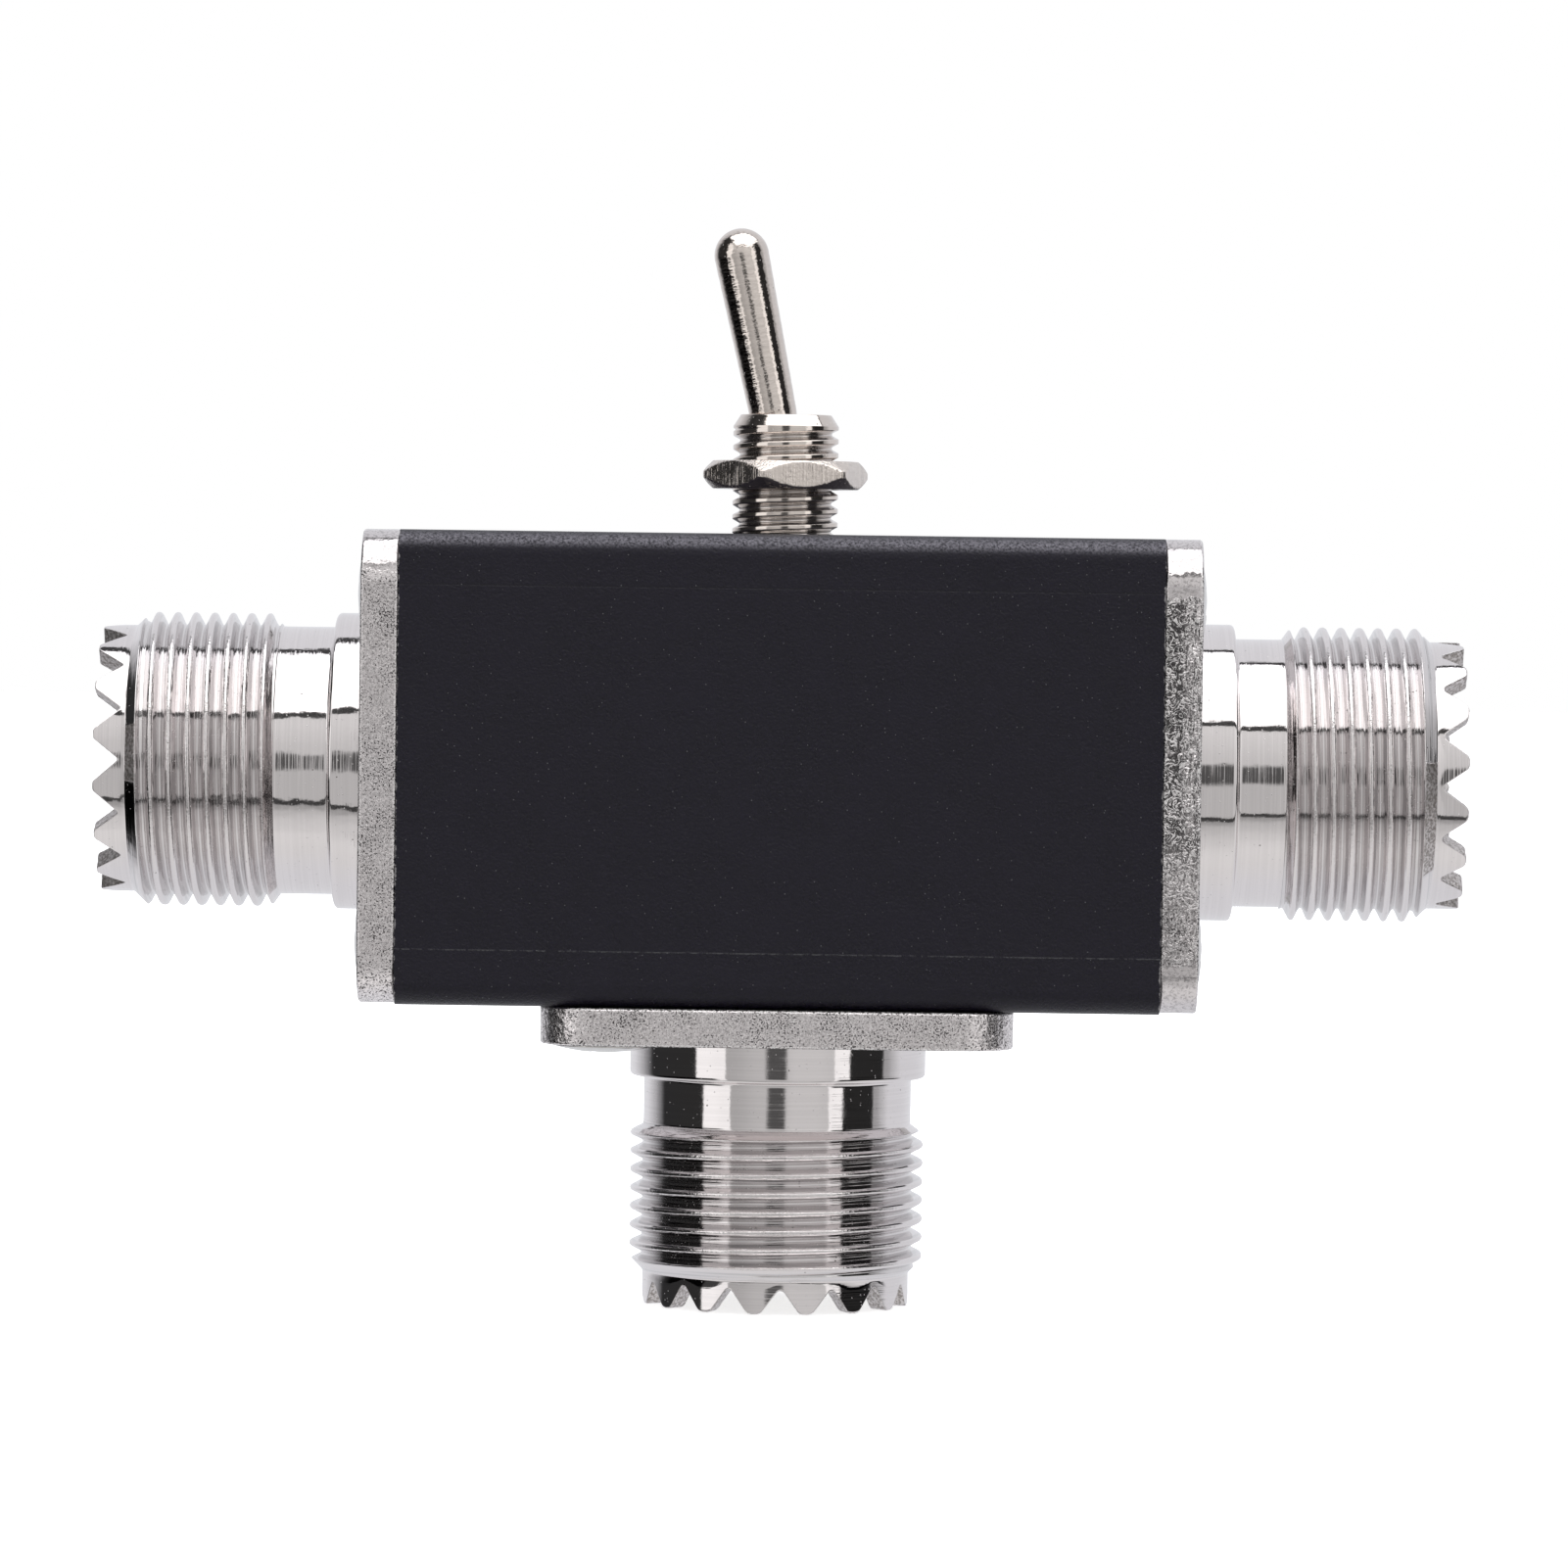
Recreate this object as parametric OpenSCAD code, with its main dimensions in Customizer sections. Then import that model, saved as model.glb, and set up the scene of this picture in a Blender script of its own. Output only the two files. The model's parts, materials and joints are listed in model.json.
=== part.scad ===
// Coaxial antenna switch: a square tube with three threaded coaxial sockets and a lever toggle.
// Lengths are in millimetres. The common socket points down, with the middle of its rim at the
// origin. X runs between the side sockets, -Y is the front and +Z is up.

/* [Housing] */
// Length of the square tube between the side flanges
tube_length = 40.2; // [36:0.2:60]
// Outer width and height of the square tube
tube_side = 25; // [24.6:0.1:26]
// Wall of the tube
tube_wall = 1.3; // [1:0.05:1.6]
// Radius of the tube's long outer edges
tube_corner = 1.2; // [0.8:0.1:2]

/* [Flanges] */
// Thickness of each flange
flange_t = 2; // [1.6:0.1:2.6]
// Radius of the flange's corners
flange_corner = 2; // [1:0.1:3]
// Distance from a flange's side to the middle of its screw holes
hole_inset = 3.37; // [3.2:0.01:3.5]

/* [Sockets] */
// How far a socket reaches out of its flange
socket_reach = 14.5; // [13.6:0.1:17]
// Diameter of the collar against the flange
collar_d = 16; // [15.9:0.1:17]
// Length of the collar
collar_length = 2.1; // [1.4:0.1:2.2]
// Diameter of the plain neck
neck_d = 14.46; // [14.3:0.02:15]
// Outer diameter of the thread
thread_d = 15.85; // [15.6:0.05:15.9]
// Where the thread starts, from the flange
thread_start = 4.8; // [3.9:0.1:5]
// Length of the thread with the cone at its end
thread_length = 8; // [7:0.1:8.4]
// Diameter of the castellated rim
rim_d = 14.4; // [14.2:0.02:14.6]
// Number of teeth on the rim
tooth_count = 16; // [12:1:18]
// Depth of the grooves between the teeth
tooth_depth = 1.3; // [1.1:0.05:1.5]
// Diameter of the socket's mouth
mouth_d = 12.2; // [12:0.05:12.4]
// Inner diameter of the centre contact
contact_bore_d = 4; // [3.8:0.02:4.2]
// Outer diameter of the centre contact
contact_d = 5.2; // [5:0.05:5.6]

/* [Toggle switch] */
// Outer diameter of the bushing's thread
bushing_d = 5.7; // [5.6:0.02:5.9]
// Height of the bushing above the housing
bushing_height = 6.5; // [6.2:0.1:7]
// Width of the hexagon nut across its flats
nut_width = 8; // [7.4:0.1:9]
// Thickness of the hexagon nut
nut_t = 1.5; // [1.2:0.1:1.8]
// Height of the nut above the housing
nut_lift = 2.5; // [1.8:0.1:3]
// Length of the lever from its pin to the middle of its round tip
lever_reach = 12.13; // [10:0.1:16]
// Diameter of the lever's round tip
lever_tip_d = 2.95; // [2.7:0.05:3.4]
// Diameter of the lever where it leaves the bushing
lever_root_d = 2.55; // [2.3:0.05:2.6]
// Lean of the lever to either side, in degrees
lever_lean = 12; // [8:0.5:12]
// Length of the switch's case
case_length = 13.2; // [12.8:0.1:15]
// Width of the switch's case
case_width = 7.9; // [7.4:0.1:9]
// Height of the switch's case
case_height = 9; // [8.8:0.1:9.4]
// Distance between the solder lugs
lug_pitch = 4.7; // [4.6:0.05:4.8]

/* [Hidden] */
$fn = 48;

// Overrun of every cut past the face that it opens
over = 0.1;
// Gap between pieces of one body that are pushed together
seat_gap = 0.03;

// Tube section: inner corners, and the channels that hold the flange screws
inner_corner = 0.4;
channel_wall = 1.1;
channel_slot = 1;

// M3 screws
screw_d = 3;
screw_gap = 0.03;
screw_hole_gap = 0.2;
screw_length = 8;
short_screw_length = 6;
head_d = 5.6;
head_height = 0.5;
head_edge = 0.1;
recess_width = 0.75;
recess_length = 2.6;
recess_depth = 0.4;
dome_steps = 5;

// Barrel: its chamfer and end cone, the spigot through the flange and its rolled lip
collar_chamfer = 0.25;
thread_cone = 0.85;
spigot_d = 12;
lip_d = 13.4;
lip_t = 0.85;
mouth_depth = 8.5;
seat_d = 10;

// Rim teeth: flat left on each tip, its rounding and the root of each groove
tooth_tip = 0.3;
tooth_round = 0.4;
tooth_root = 0.2;
root_steps = 3;
round_steps = 3;

// How far each rim is turned about its axis, in degrees
turn_left = 0.4;
turn_right = 4;
turn_bottom = -2.7;

// Insulator and centre contact, measured along the socket's axis
insulator_front = 2;
tail_past_wall = 1.2;
contact_reach = 0.4;
contact_bore_depth = 8;
contact_slot = 0.4;
contact_slot_depth = 4.6;
contact_shoulder_t = 0.6;
contact_neck_d = 4.4;
cup_d = 3;
cup_bore_d = 2;
cup_share = 0.32;
cup_depth_share = 0.7;

// Bushing: top chamfer, bore round the ball, mouth and lower flare
bushing_chamfer = 0.43;
pin_drop = 3.3;
ball_d = 3.66;
ball_gap = 0.07;
throat_d = 2.84;
mouth_lip = 0.3;
flare_wall = 0.45;

// Lever: its neck in the throat and its hollow lower end
lever_neck_d = 2.1;
stem_d = 2.2;
stem_length = 5.2;
stem_bore_d = 1.5;
stem_web = 0.42;
lever_pin_d = 1;
pin_gap = 0.03;
tip_steps = 8;
ball_steps = 8;

// Plunger and its spring
plunger_d = 1.4;
plunger_reach = 9.8;
plunger_top = 3.15;
spring_wire_d = 0.2;
spring_d = 1.4;
spring_turns = 6;
spring_sides = 6;
spring_rings = 12;

// Nut and washer
nut_chamfer = 0.35;
nut_turn = 14.2;
washer_d = 9.2;
washer_t = 0.4;
washer_teeth = 10;
washer_notch = 1;

// Switch frame
frame_top_t = 0.6;
frame_side_t = 0.5;
frame_side_length = 11;
frame_bend = 0.6;
tab_length = 1.8;
tab_reach = 1;

// Switch base
base_wall_x = 1.2;
base_wall_y = 1.1;
base_floor = 2;

// Terminals
lug_t = 0.8;
lug_width = 2;
lug_share = 0.32;
lug_hole_d = 1;
lug_hole_rise = 1.2;
foot_t = 0.4;
foot_grow = 0.25;
button_d = 1.2;
button_t = 0.3;

// Rocker
rocker_t = 0.4;
rocker_width = 3;
rocker_half = 4.9;
rocker_rise = 14;
rocker_tilt = 10;
rocker_pin_d = 0.7;
rocker_pin_length = 3.4;
rocker_drop = 0.54;
ear_t = 0.3;
ear_gap = 0.15;
ear_d = 1.5;
plunger_gap = 0.175;
button_gap = 0.035;

// Wires
wire_d = 0.8;
sleeve_d = 1.5;
wire_bend = 1.5;
wire_in_cup_share = 0.5;
wire_bare = 1.2;
wire_middle = 1;
lug_wire_past = 0.6;
hook_slant = 45;
hook_share = 0.08;
hook_gap = 0.15;
wire_sides = 12;
bend_steps = 6;

// Sizes that follow from the tube's side: the flanges, their holes and the free height between the
// switch's case and the bottom wall, which the solder lugs, solder cups and wires share
flange_side = tube_side;
hole_pitch = tube_side - 2 * hole_inset;
free_height = tube_side - 2 * tube_wall - washer_t - frame_top_t - case_height;
lug_reach = lug_share * free_height;
insulator_tail = flange_t + tube_wall + tail_past_wall;
cup_length = cup_share * free_height;
cup_depth = cup_depth_share * cup_length;
wire_in_cup = wire_in_cup_share * cup_depth;
hook_bend = hook_share * free_height;

// Heights and places that follow from the sizes above
tube_bottom = socket_reach + flange_t;
tube_top = tube_bottom + tube_side;
axis_z = tube_bottom + tube_side / 2;
wall_under = tube_top - tube_wall;
channel_d = screw_d + 2 * channel_wall;
face_x = tube_length / 2 + flange_t;
bushing_top = tube_top + bushing_height;
pin_z = bushing_top - pin_drop;
frame_top = wall_under - washer_t;
case_top = frame_top - frame_top_t;
case_bottom = case_top - case_height;
floor_z = case_bottom + base_floor;
bore_d = ball_d + 2 * ball_gap;
thread_end = thread_start + thread_length;
tooth_pitch = 360 / tooth_count;
mid_plunger_z = pin_z - plunger_reach - plunger_d / 2;
rocker_rim = rocker_t / cos(rocker_rise);
rocker_pin_z = mid_plunger_z - plunger_gap - rocker_rim - rocker_drop;
rest_slope = rocker_rise - rocker_tilt;
button_top = rocker_pin_z + rocker_drop * cos(rocker_tilt)
  + (lug_pitch - rocker_drop * sin(rocker_tilt)) * tan(rest_slope) - button_gap;
lug_bottom = case_bottom - lug_reach;
lug_hole_z = lug_bottom + lug_hole_rise;
contact_front = socket_reach - mouth_depth + contact_reach;
contact_back = -insulator_tail - cup_length;
wire_start_x = face_x + contact_back + wire_in_cup;
wire_drop = axis_z - lug_hole_z;
wire_slope = acos((2 * wire_bend - abs(wire_drop)) / norm([2 * wire_bend, wire_middle]))
  - atan(wire_middle / 2 / wire_bend);
wire_turn = sign(wire_drop) * wire_slope;
slant_run = 2 * wire_bend * sin(wire_slope) + wire_middle * cos(wire_slope);
wire_lead = wire_in_cup + wire_bare + sleeve_d;
wire_tail = wire_start_x - wire_lead - slant_run - lug_pitch + lug_t / 2 + lug_wire_past;

black = [0.1, 0.1, 0.11];
bright_nickel = [0.83, 0.82, 0.8];
rough_nickel = [0.62, 0.61, 0.59];
dark_nickel = [0.6, 0.57, 0.53];
steel = [0.72, 0.73, 0.74];
white = [0.93, 0.92, 0.89];
brass = [0.8, 0.67, 0.38];
phenolic = [0.16, 0.27, 0.42];
silver = [0.86, 0.86, 0.84];
nylon = [0.9, 0.88, 0.82];
red = [0.65, 0.13, 0.1];

// Points of an arc about (x, y), from one angle to another
function arc(x, y, r, from, to, steps) = [
  for (i = [0 : steps]) let (a = from + (to - from) * i / steps) [x + r * cos(a), y + r * sin(a)]
];

// A square with rounded corners, about its middle
module rounded_square(side, r) {
  square([side, side - 2 * r], center = true);
  square([side - 2 * r, side], center = true);
  at_corners(side - 2 * r) circle(r);
}

// Four copies at the corners of a square of the given side
module at_corners(side) {
  for (x = [-side / 2, side / 2], y = [-side / 2, side / 2]) translate([x, y]) children();
}

// Turns a socket, built along +Z from its flange's outer face, to its place
module at_left() { translate([-face_x, 0, axis_z]) rotate([0, -90, 0]) children(); }
module at_right() { translate([face_x, 0, axis_z]) rotate([0, 90, 0]) children(); }
module at_bottom() { translate([0, 0, socket_reach]) rotate([0, 180, 0]) children(); }

// Housing: extruded tube with four open screw channels
module tube_section() {
  difference() {
    rounded_square(tube_side, tube_corner);
    difference() {
      rounded_square(tube_side - 2 * tube_wall, inner_corner);
      at_corners(hole_pitch) circle(d = channel_d);
    }
    at_corners(hole_pitch) circle(d = screw_d);
    for (a = [45 : 90 : 315])
      rotate(a) translate([hole_pitch * sqrt(2) / 2 - channel_d, -channel_slot / 2])
        square([channel_d, channel_slot]);
  }
}

module housing() {
  color(black)
  difference() {
    translate([-tube_length / 2, 0, axis_z])
      rotate([90, 0, 90])
        linear_extrude(tube_length) tube_section();
    translate([0, 0, wall_under - over])
      cylinder(d = bushing_d + 2 * seat_gap, h = tube_wall + 2 * over);
    translate([0, 0, tube_bottom - over])
      cylinder(d = lip_d + 2 * screw_hole_gap, h = tube_wall + 2 * over);
    for (s = [-1, 1])
      translate([s * hole_pitch / 2, s * hole_pitch / 2, tube_bottom - over])
        cylinder(d = screw_d, h = short_screw_length - flange_t + 2 * over);
  }
}

// Flange: square plate with the spigot's hole and four screw holes
module flange() {
  color(rough_nickel)
  translate([0, 0, -flange_t])
    linear_extrude(flange_t)
      difference() {
        rounded_square(flange_side, flange_corner);
        circle(d = spigot_d + 2 * seat_gap);
        at_corners(hole_pitch) circle(d = screw_d + 2 * screw_hole_gap);
      }
}
module flange_left() { at_left() flange(); }
module flange_right() { at_right() flange(); }
module flange_bottom() { at_bottom() flange(); }

// Outline of the barrel: spigot with its lip, collar, neck, thread, rim and stepped bore
module barrel_outline() {
  lip_z = -flange_t - seat_gap;
  polygon([
    [seat_d / 2, lip_z - lip_t],
    [lip_d / 2, lip_z - lip_t],
    [lip_d / 2, lip_z],
    [spigot_d / 2, lip_z],
    [spigot_d / 2, 0],
    [collar_d / 2, 0],
    [collar_d / 2, collar_length - collar_chamfer],
    [collar_d / 2 - collar_chamfer, collar_length],
    [neck_d / 2, collar_length],
    [neck_d / 2, thread_start - (thread_d - neck_d) / 2],
    [thread_d / 2, thread_start],
    [thread_d / 2, thread_end - thread_cone],
    [rim_d / 2, thread_end],
    [rim_d / 2, socket_reach],
    [mouth_d / 2, socket_reach],
    [mouth_d / 2, socket_reach - mouth_depth - insulator_front],
    [seat_d / 2, socket_reach - mouth_depth - insulator_front]
  ]);
}

// Groove between two teeth, along the rim and out of it: a V with a round root and round shoulders
module groove_outline() {
  half_gap = PI * rim_d / tooth_count / 2 - tooth_tip / 2 - tooth_round;
  flank = atan((half_gap - tooth_root) / (tooth_depth - tooth_root));
  root = arc(0, tooth_root, tooth_root, -90, -flank, root_steps);
  shoulder = arc(half_gap + tooth_round, tooth_depth - tooth_round, tooth_round, 180 - flank, 90,
    round_steps);
  side = concat(root, shoulder);
  last = len(side) - 1;
  polygon(concat(
    side,
    [[half_gap + tooth_round, tooth_depth + over], [-half_gap - tooth_round, tooth_depth + over]],
    [for (i = [last : -1 : 0]) [-side[i][0], side[i][1]]]
  ));
}

module barrel(turn) {
  color(bright_nickel)
  rotate(turn + tooth_pitch / 2)
  difference() {
    rotate_extrude() barrel_outline();
    for (i = [0 : tooth_count - 1])
      rotate((i + 1 / 2) * tooth_pitch)
        translate([0, -mouth_d / 2 + tooth_round, socket_reach - tooth_depth])
          rotate([90, 0, 0])
            linear_extrude(rim_d / 2) groove_outline();
  }
}
module barrel_left() { at_left() barrel(turn_left); }
module barrel_right() { at_right() barrel(turn_right); }
module barrel_bottom() { at_bottom() barrel(turn_bottom); }

// Insulator: stepped disc held against the barrel's inner shoulder
module insulator() {
  front = socket_reach - mouth_depth;
  step = front - insulator_front + seat_gap;
  shoulder = contact_front - contact_bore_depth - contact_shoulder_t;
  color(white)
  difference() {
    union() {
      translate([0, 0, step]) cylinder(d = mouth_d - 2 * seat_gap, h = front - step);
      translate([0, 0, -insulator_tail]) cylinder(d = seat_d - 2 * seat_gap, h = step + insulator_tail);
    }
    translate([0, 0, shoulder]) cylinder(d = contact_d + 2 * seat_gap, h = front - shoulder + over);
    translate([0, 0, -insulator_tail - over])
      cylinder(d = contact_neck_d + 2 * seat_gap, h = insulator_tail + shoulder + 2 * over);
  }
}
module insulator_left() { at_left() insulator(); }
module insulator_right() { at_right() insulator(); }
module insulator_bottom() { at_bottom() insulator(); }

// Centre contact: slotted tube in front, solder cup behind
module contact() {
  solid_back = contact_front - contact_bore_depth;
  neck_back = solid_back - contact_shoulder_t;
  color(brass)
  difference() {
    union() {
      translate([0, 0, neck_back + seat_gap])
        cylinder(d = contact_d, h = contact_front - neck_back - seat_gap);
      translate([0, 0, -insulator_tail])
        cylinder(d = contact_neck_d, h = neck_back + insulator_tail + 2 * seat_gap);
      translate([0, 0, contact_back]) cylinder(d = cup_d, h = cup_length + over);
    }
    translate([0, 0, solid_back]) cylinder(d = contact_bore_d, h = contact_bore_depth + over);
    for (a = [0, 90])
      rotate(a)
        translate([-contact_d, -contact_slot / 2, contact_front - contact_slot_depth])
          cube([2 * contact_d, contact_slot, contact_slot_depth + over]);
    translate([0, 0, contact_back - over]) cylinder(d = cup_bore_d, h = cup_depth + over);
    translate([-cup_d, -cup_d, contact_back - over])
      cube([2 * cup_d, cup_d, cup_depth * 2 / 3 + over]);
  }
}
module contact_left() { at_left() contact(); }
module contact_right() { at_right() contact(); }
module contact_bottom() { at_bottom() contact(); }

// Low domed screw with a cross recess, its head resting on z = 0
module screw(length) {
  dome_r = (head_d * head_d / 4 + (head_height - head_edge) * (head_height - head_edge))
    / 2 / (head_height - head_edge);
  dome_half = asin(head_d / 2 / dome_r);
  difference() {
    union() {
      rotate_extrude()
        polygon(concat([[0, 0], [head_d / 2, 0]],
          arc(0, head_height - dome_r, dome_r, 90 - dome_half, 90, dome_steps)));
      translate([0, 0, -length]) cylinder(d = screw_d - 2 * screw_gap, h = length + head_edge);
    }
    for (a = [0, 90])
      rotate(a)
        translate([-recess_length / 2, -recess_width / 2, head_height - recess_depth])
          cube([recess_length, recess_width, recess_depth + over]);
  }
}
module side_screws() {
  color(dark_nickel) at_corners(hole_pitch) screw(screw_length);
}
module screws_left() { at_left() side_screws(); }
module screws_right() { at_right() side_screws(); }
module screws_bottom() {
  color(dark_nickel)
  for (s = [-1, 1])
    translate([s * hole_pitch / 2, s * hole_pitch / 2, socket_reach])
      rotate([180, 0, 0]) screw(short_screw_length);
}

// Bushing: round seat for the lever's ball, a flared mouth above and a flare below
module bushing() {
  throat_z = sqrt(bore_d * bore_d - throat_d * throat_d) / 2;
  color(dark_nickel)
  difference() {
    rotate_extrude()
      polygon([
        [0, case_top],
        [bushing_d / 2, case_top],
        [bushing_d / 2, bushing_top - bushing_chamfer],
        [bushing_d / 2 - bushing_chamfer, bushing_top],
        [0, bushing_top]
      ]);
    translate([0, 0, pin_z]) sphere(d = bore_d);
    translate([0, 0, case_top - over]) cylinder(d = bore_d, h = pin_z - case_top + over);
    translate([0, 0, case_top])
      cylinder(d1 = bushing_d - 2 * flare_wall, d2 = bore_d, h = tube_top - case_top);
    translate([0, 0, pin_z + throat_z])
      cylinder(d1 = throat_d, d2 = bushing_d - 2 * bushing_chamfer - 2 * mouth_lip,
        h = pin_drop - throat_z);
    translate([0, bushing_d / 2 + over, pin_z])
      rotate([90, 0, 0]) cylinder(d = lever_pin_d, h = bushing_d + 2 * over);
  }
}

// Hexagon nut, chamfered on both faces
module outer_nut() {
  corner_r = nut_width / 2 / cos(30);
  color(dark_nickel)
  translate([0, 0, tube_top + nut_lift])
    rotate(nut_turn)
      difference() {
        intersection() {
          cylinder(r = corner_r, h = nut_t, $fn = 6);
          rotate_extrude()
            polygon([
              [0, 0],
              [corner_r - nut_chamfer, 0],
              [corner_r, nut_chamfer * tan(30)],
              [corner_r, nut_t - nut_chamfer * tan(30)],
              [corner_r - nut_chamfer, nut_t],
              [0, nut_t]
            ]);
        }
        translate([0, 0, -over])
          cylinder(d = bushing_d + 2 * seat_gap, h = nut_t + 2 * over);
      }
}

// Toothed washer between the switch's frame and the top wall
module lock_washer() {
  color(steel)
  translate([0, 0, frame_top])
    difference() {
      cylinder(d = washer_d, h = washer_t);
      translate([0, 0, -over]) cylinder(d = bushing_d + 2 * seat_gap, h = washer_t + 2 * over);
      for (i = [0 : washer_teeth - 1])
        rotate(i * 360 / washer_teeth)
          translate([washer_d / 2 - washer_notch, -washer_notch / 2, -over])
            cube([washer_notch + over, washer_notch, washer_t + 2 * over]);
    }
}

// Leans a piece that is built upright about the lever's pin
module leaning() { translate([0, 0, pin_z]) rotate([0, -lever_lean, 0]) children(); }

// Lever: round tip, tapered shaft, ball on the cross pin and hollow lower end
module lever() {
  tip_r = lever_tip_d / 2;
  ball_top = asin(lever_neck_d / ball_d);
  ball_low = asin(stem_d / ball_d);
  color(dark_nickel)
  leaning()
    difference() {
      rotate_extrude()
        polygon(concat(
          [[0, -stem_length], [stem_d / 2, -stem_length]],
          arc(0, 0, ball_d / 2, ball_low - 90, 90 - ball_top, ball_steps),
          [[lever_root_d / 2, pin_drop / cos(lever_lean)]],
          arc(0, lever_reach, tip_r, 0, 90, tip_steps)
        ));
      translate([0, 0, -stem_length - over])
        cylinder(d = stem_bore_d, h = stem_length - lever_pin_d / 2 - pin_gap - stem_web + over);
      translate([0, ball_d, 0])
        rotate([90, 0, 0]) cylinder(d = lever_pin_d + 2 * pin_gap, h = 2 * ball_d);
    }
}

module lever_pin() {
  pin_length = bushing_d - 4 * seat_gap;
  color(steel)
  translate([0, pin_length / 2, pin_z])
    rotate([90, 0, 0]) cylinder(d = lever_pin_d, h = pin_length);
}

module plunger() {
  color(nylon)
  leaning() {
    translate([0, 0, -plunger_reach])
      cylinder(d = plunger_d, h = plunger_reach - plunger_top);
    translate([0, 0, -plunger_reach])
      intersection() {
        sphere(d = plunger_d);
        translate([-plunger_d, -plunger_d, -plunger_d]) cube([2 * plunger_d, 2 * plunger_d, plunger_d]);
      }
  }
}

// Solid whose skin passes through a row of rings, each with as many points as the next.
// A closed row comes back to its first ring, as in a tube with a bore.
module skin(rings, closed = false) {
  n = len(rings);
  m = len(rings[0]);
  last = (n - 1) * m;
  sides = [
    for (i = [0 : closed ? n - 1 : n - 2], j = [0 : m - 1])
      let (
        a = i * m + j,
        b = i * m + (j + 1) % m,
        c = (i + 1) % n * m + (j + 1) % m,
        d = (i + 1) % n * m + j
      )
        each [[a, b, c], [a, c, d]]
  ];
  caps = closed ? [] : concat(
    [for (j = [1 : m - 2]) [0, j + 1, j]],
    [for (j = [1 : m - 2]) [last, last + j, last + j + 1]]
  );
  polyhedron([for (ring = rings) each ring], concat(sides, caps));
}

// Spring: round wire carried along a helix, one ring of points at each step
module plunger_spring() {
  top = -lever_pin_d / 2 - pin_gap - stem_web - spring_wire_d / 2 - seat_gap / 2;
  low = -plunger_top + spring_wire_d / 2 + seat_gap / 2;
  helix_r = (spring_d - spring_wire_d) / 2;
  steps = spring_turns * spring_rings;
  color(steel)
  leaning()
    skin([
      for (i = [0 : steps])
        let (a = 360 * i / spring_rings, z = low + (top - low) * i / steps)
          [
            for (j = [0 : spring_sides - 1])
              let (b = 360 * j / spring_sides, r = helix_r + spring_wire_d / 2 * cos(b))
                [r * cos(a), r * sin(a), z + spring_wire_d / 2 * sin(b)]
          ]
    ]);
}

// Switch frame: steel strip bent over the case, with four tabs closed under it
module switch_frame() {
  inner = case_width / 2 + seat_gap;
  outer = inner + frame_side_t;
  color(steel) {
    difference() {
      translate([-frame_side_length / 2, 0, 0])
        rotate([90, 0, 90])
          linear_extrude(frame_side_length)
            difference() {
              union() {
                translate([-outer, case_bottom - frame_side_t])
                  square([2 * outer, frame_top - frame_bend - case_bottom + frame_side_t]);
                translate([-outer + frame_bend, frame_top - 2 * frame_bend])
                  square([2 * outer - 2 * frame_bend, 2 * frame_bend]);
                for (s = [-1, 1])
                  translate([s * (outer - frame_bend), frame_top - frame_bend]) circle(frame_bend);
              }
              translate([-inner, case_bottom]) square([2 * inner, case_height]);
              translate([-inner + tab_reach, case_bottom - frame_side_t - over])
                square([2 * inner - 2 * tab_reach, 2 * frame_side_t + 2 * over]);
            }
      translate([0, 0, case_top - over])
        cylinder(d = bushing_d + 2 * seat_gap, h = frame_top_t + 2 * over);
      translate([tab_length - frame_side_length / 2, -outer - over, case_bottom - frame_side_t - over])
        cube([frame_side_length - 2 * tab_length, 2 * outer + 2 * over, frame_side_t + over]);
    }
  }
}

// Switch base: open moulded box with slots for the terminals
module switch_base() {
  color(phenolic)
  difference() {
    translate([-case_length / 2, -case_width / 2, case_bottom])
      cube([case_length, case_width, case_height]);
    translate([-case_length / 2 + base_wall_x, -case_width / 2 + base_wall_y, floor_z])
      cube([case_length - 2 * base_wall_x, case_width - 2 * base_wall_y, case_height]);
    for (i = [-1 : 1])
      translate([
        i * lug_pitch - lug_t / 2 - seat_gap,
        -lug_width / 2 - seat_gap,
        case_bottom - over
      ])
        cube([lug_t + 2 * seat_gap, lug_width + 2 * seat_gap, base_floor + 2 * over]);
  }
}

// Terminal strip up to a given height: round solder lug, hole for the wire and a foot on the floor
module terminal(top) {
  difference() {
    union() {
      translate([-lug_t / 2, -lug_width / 2, lug_bottom + lug_width / 2])
        cube([lug_t, lug_width, top - lug_bottom - lug_width / 2]);
      translate([-lug_t / 2, 0, lug_bottom + lug_width / 2])
        rotate([0, 90, 0]) cylinder(d = lug_width, h = lug_t);
      translate([-lug_t / 2 - foot_grow, -lug_width / 2, floor_z])
        cube([lug_t + 2 * foot_grow, lug_width, foot_t]);
    }
    translate([-lug_t, 0, lug_hole_z]) rotate([0, 90, 0]) cylinder(d = lug_hole_d, h = 2 * lug_t);
  }
}
module side_terminal() {
  color(silver) {
    terminal(button_top - button_t);
    translate([0, 0, button_top - button_t]) cylinder(d1 = button_d, d2 = button_d / 2, h = button_t);
  }
}
module terminal_left() { translate([-lug_pitch, 0, 0]) side_terminal(); }
module terminal_right() { translate([lug_pitch, 0, 0]) side_terminal(); }
module terminal_common() {
  color(silver)
  difference() {
    terminal(rocker_pin_z + rocker_pin_d / 2 + (rocker_drop - rocker_pin_d / 2) / 3);
    translate([0, lug_width, rocker_pin_z])
      rotate([90, 0, 0]) cylinder(d = rocker_pin_d, h = 2 * lug_width);
  }
}

module rocker_pin() {
  color(steel)
  translate([0, rocker_pin_length / 2, rocker_pin_z])
    rotate([90, 0, 0]) cylinder(d = rocker_pin_d - 2 * pin_gap / 3, h = rocker_pin_length);
}

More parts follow.
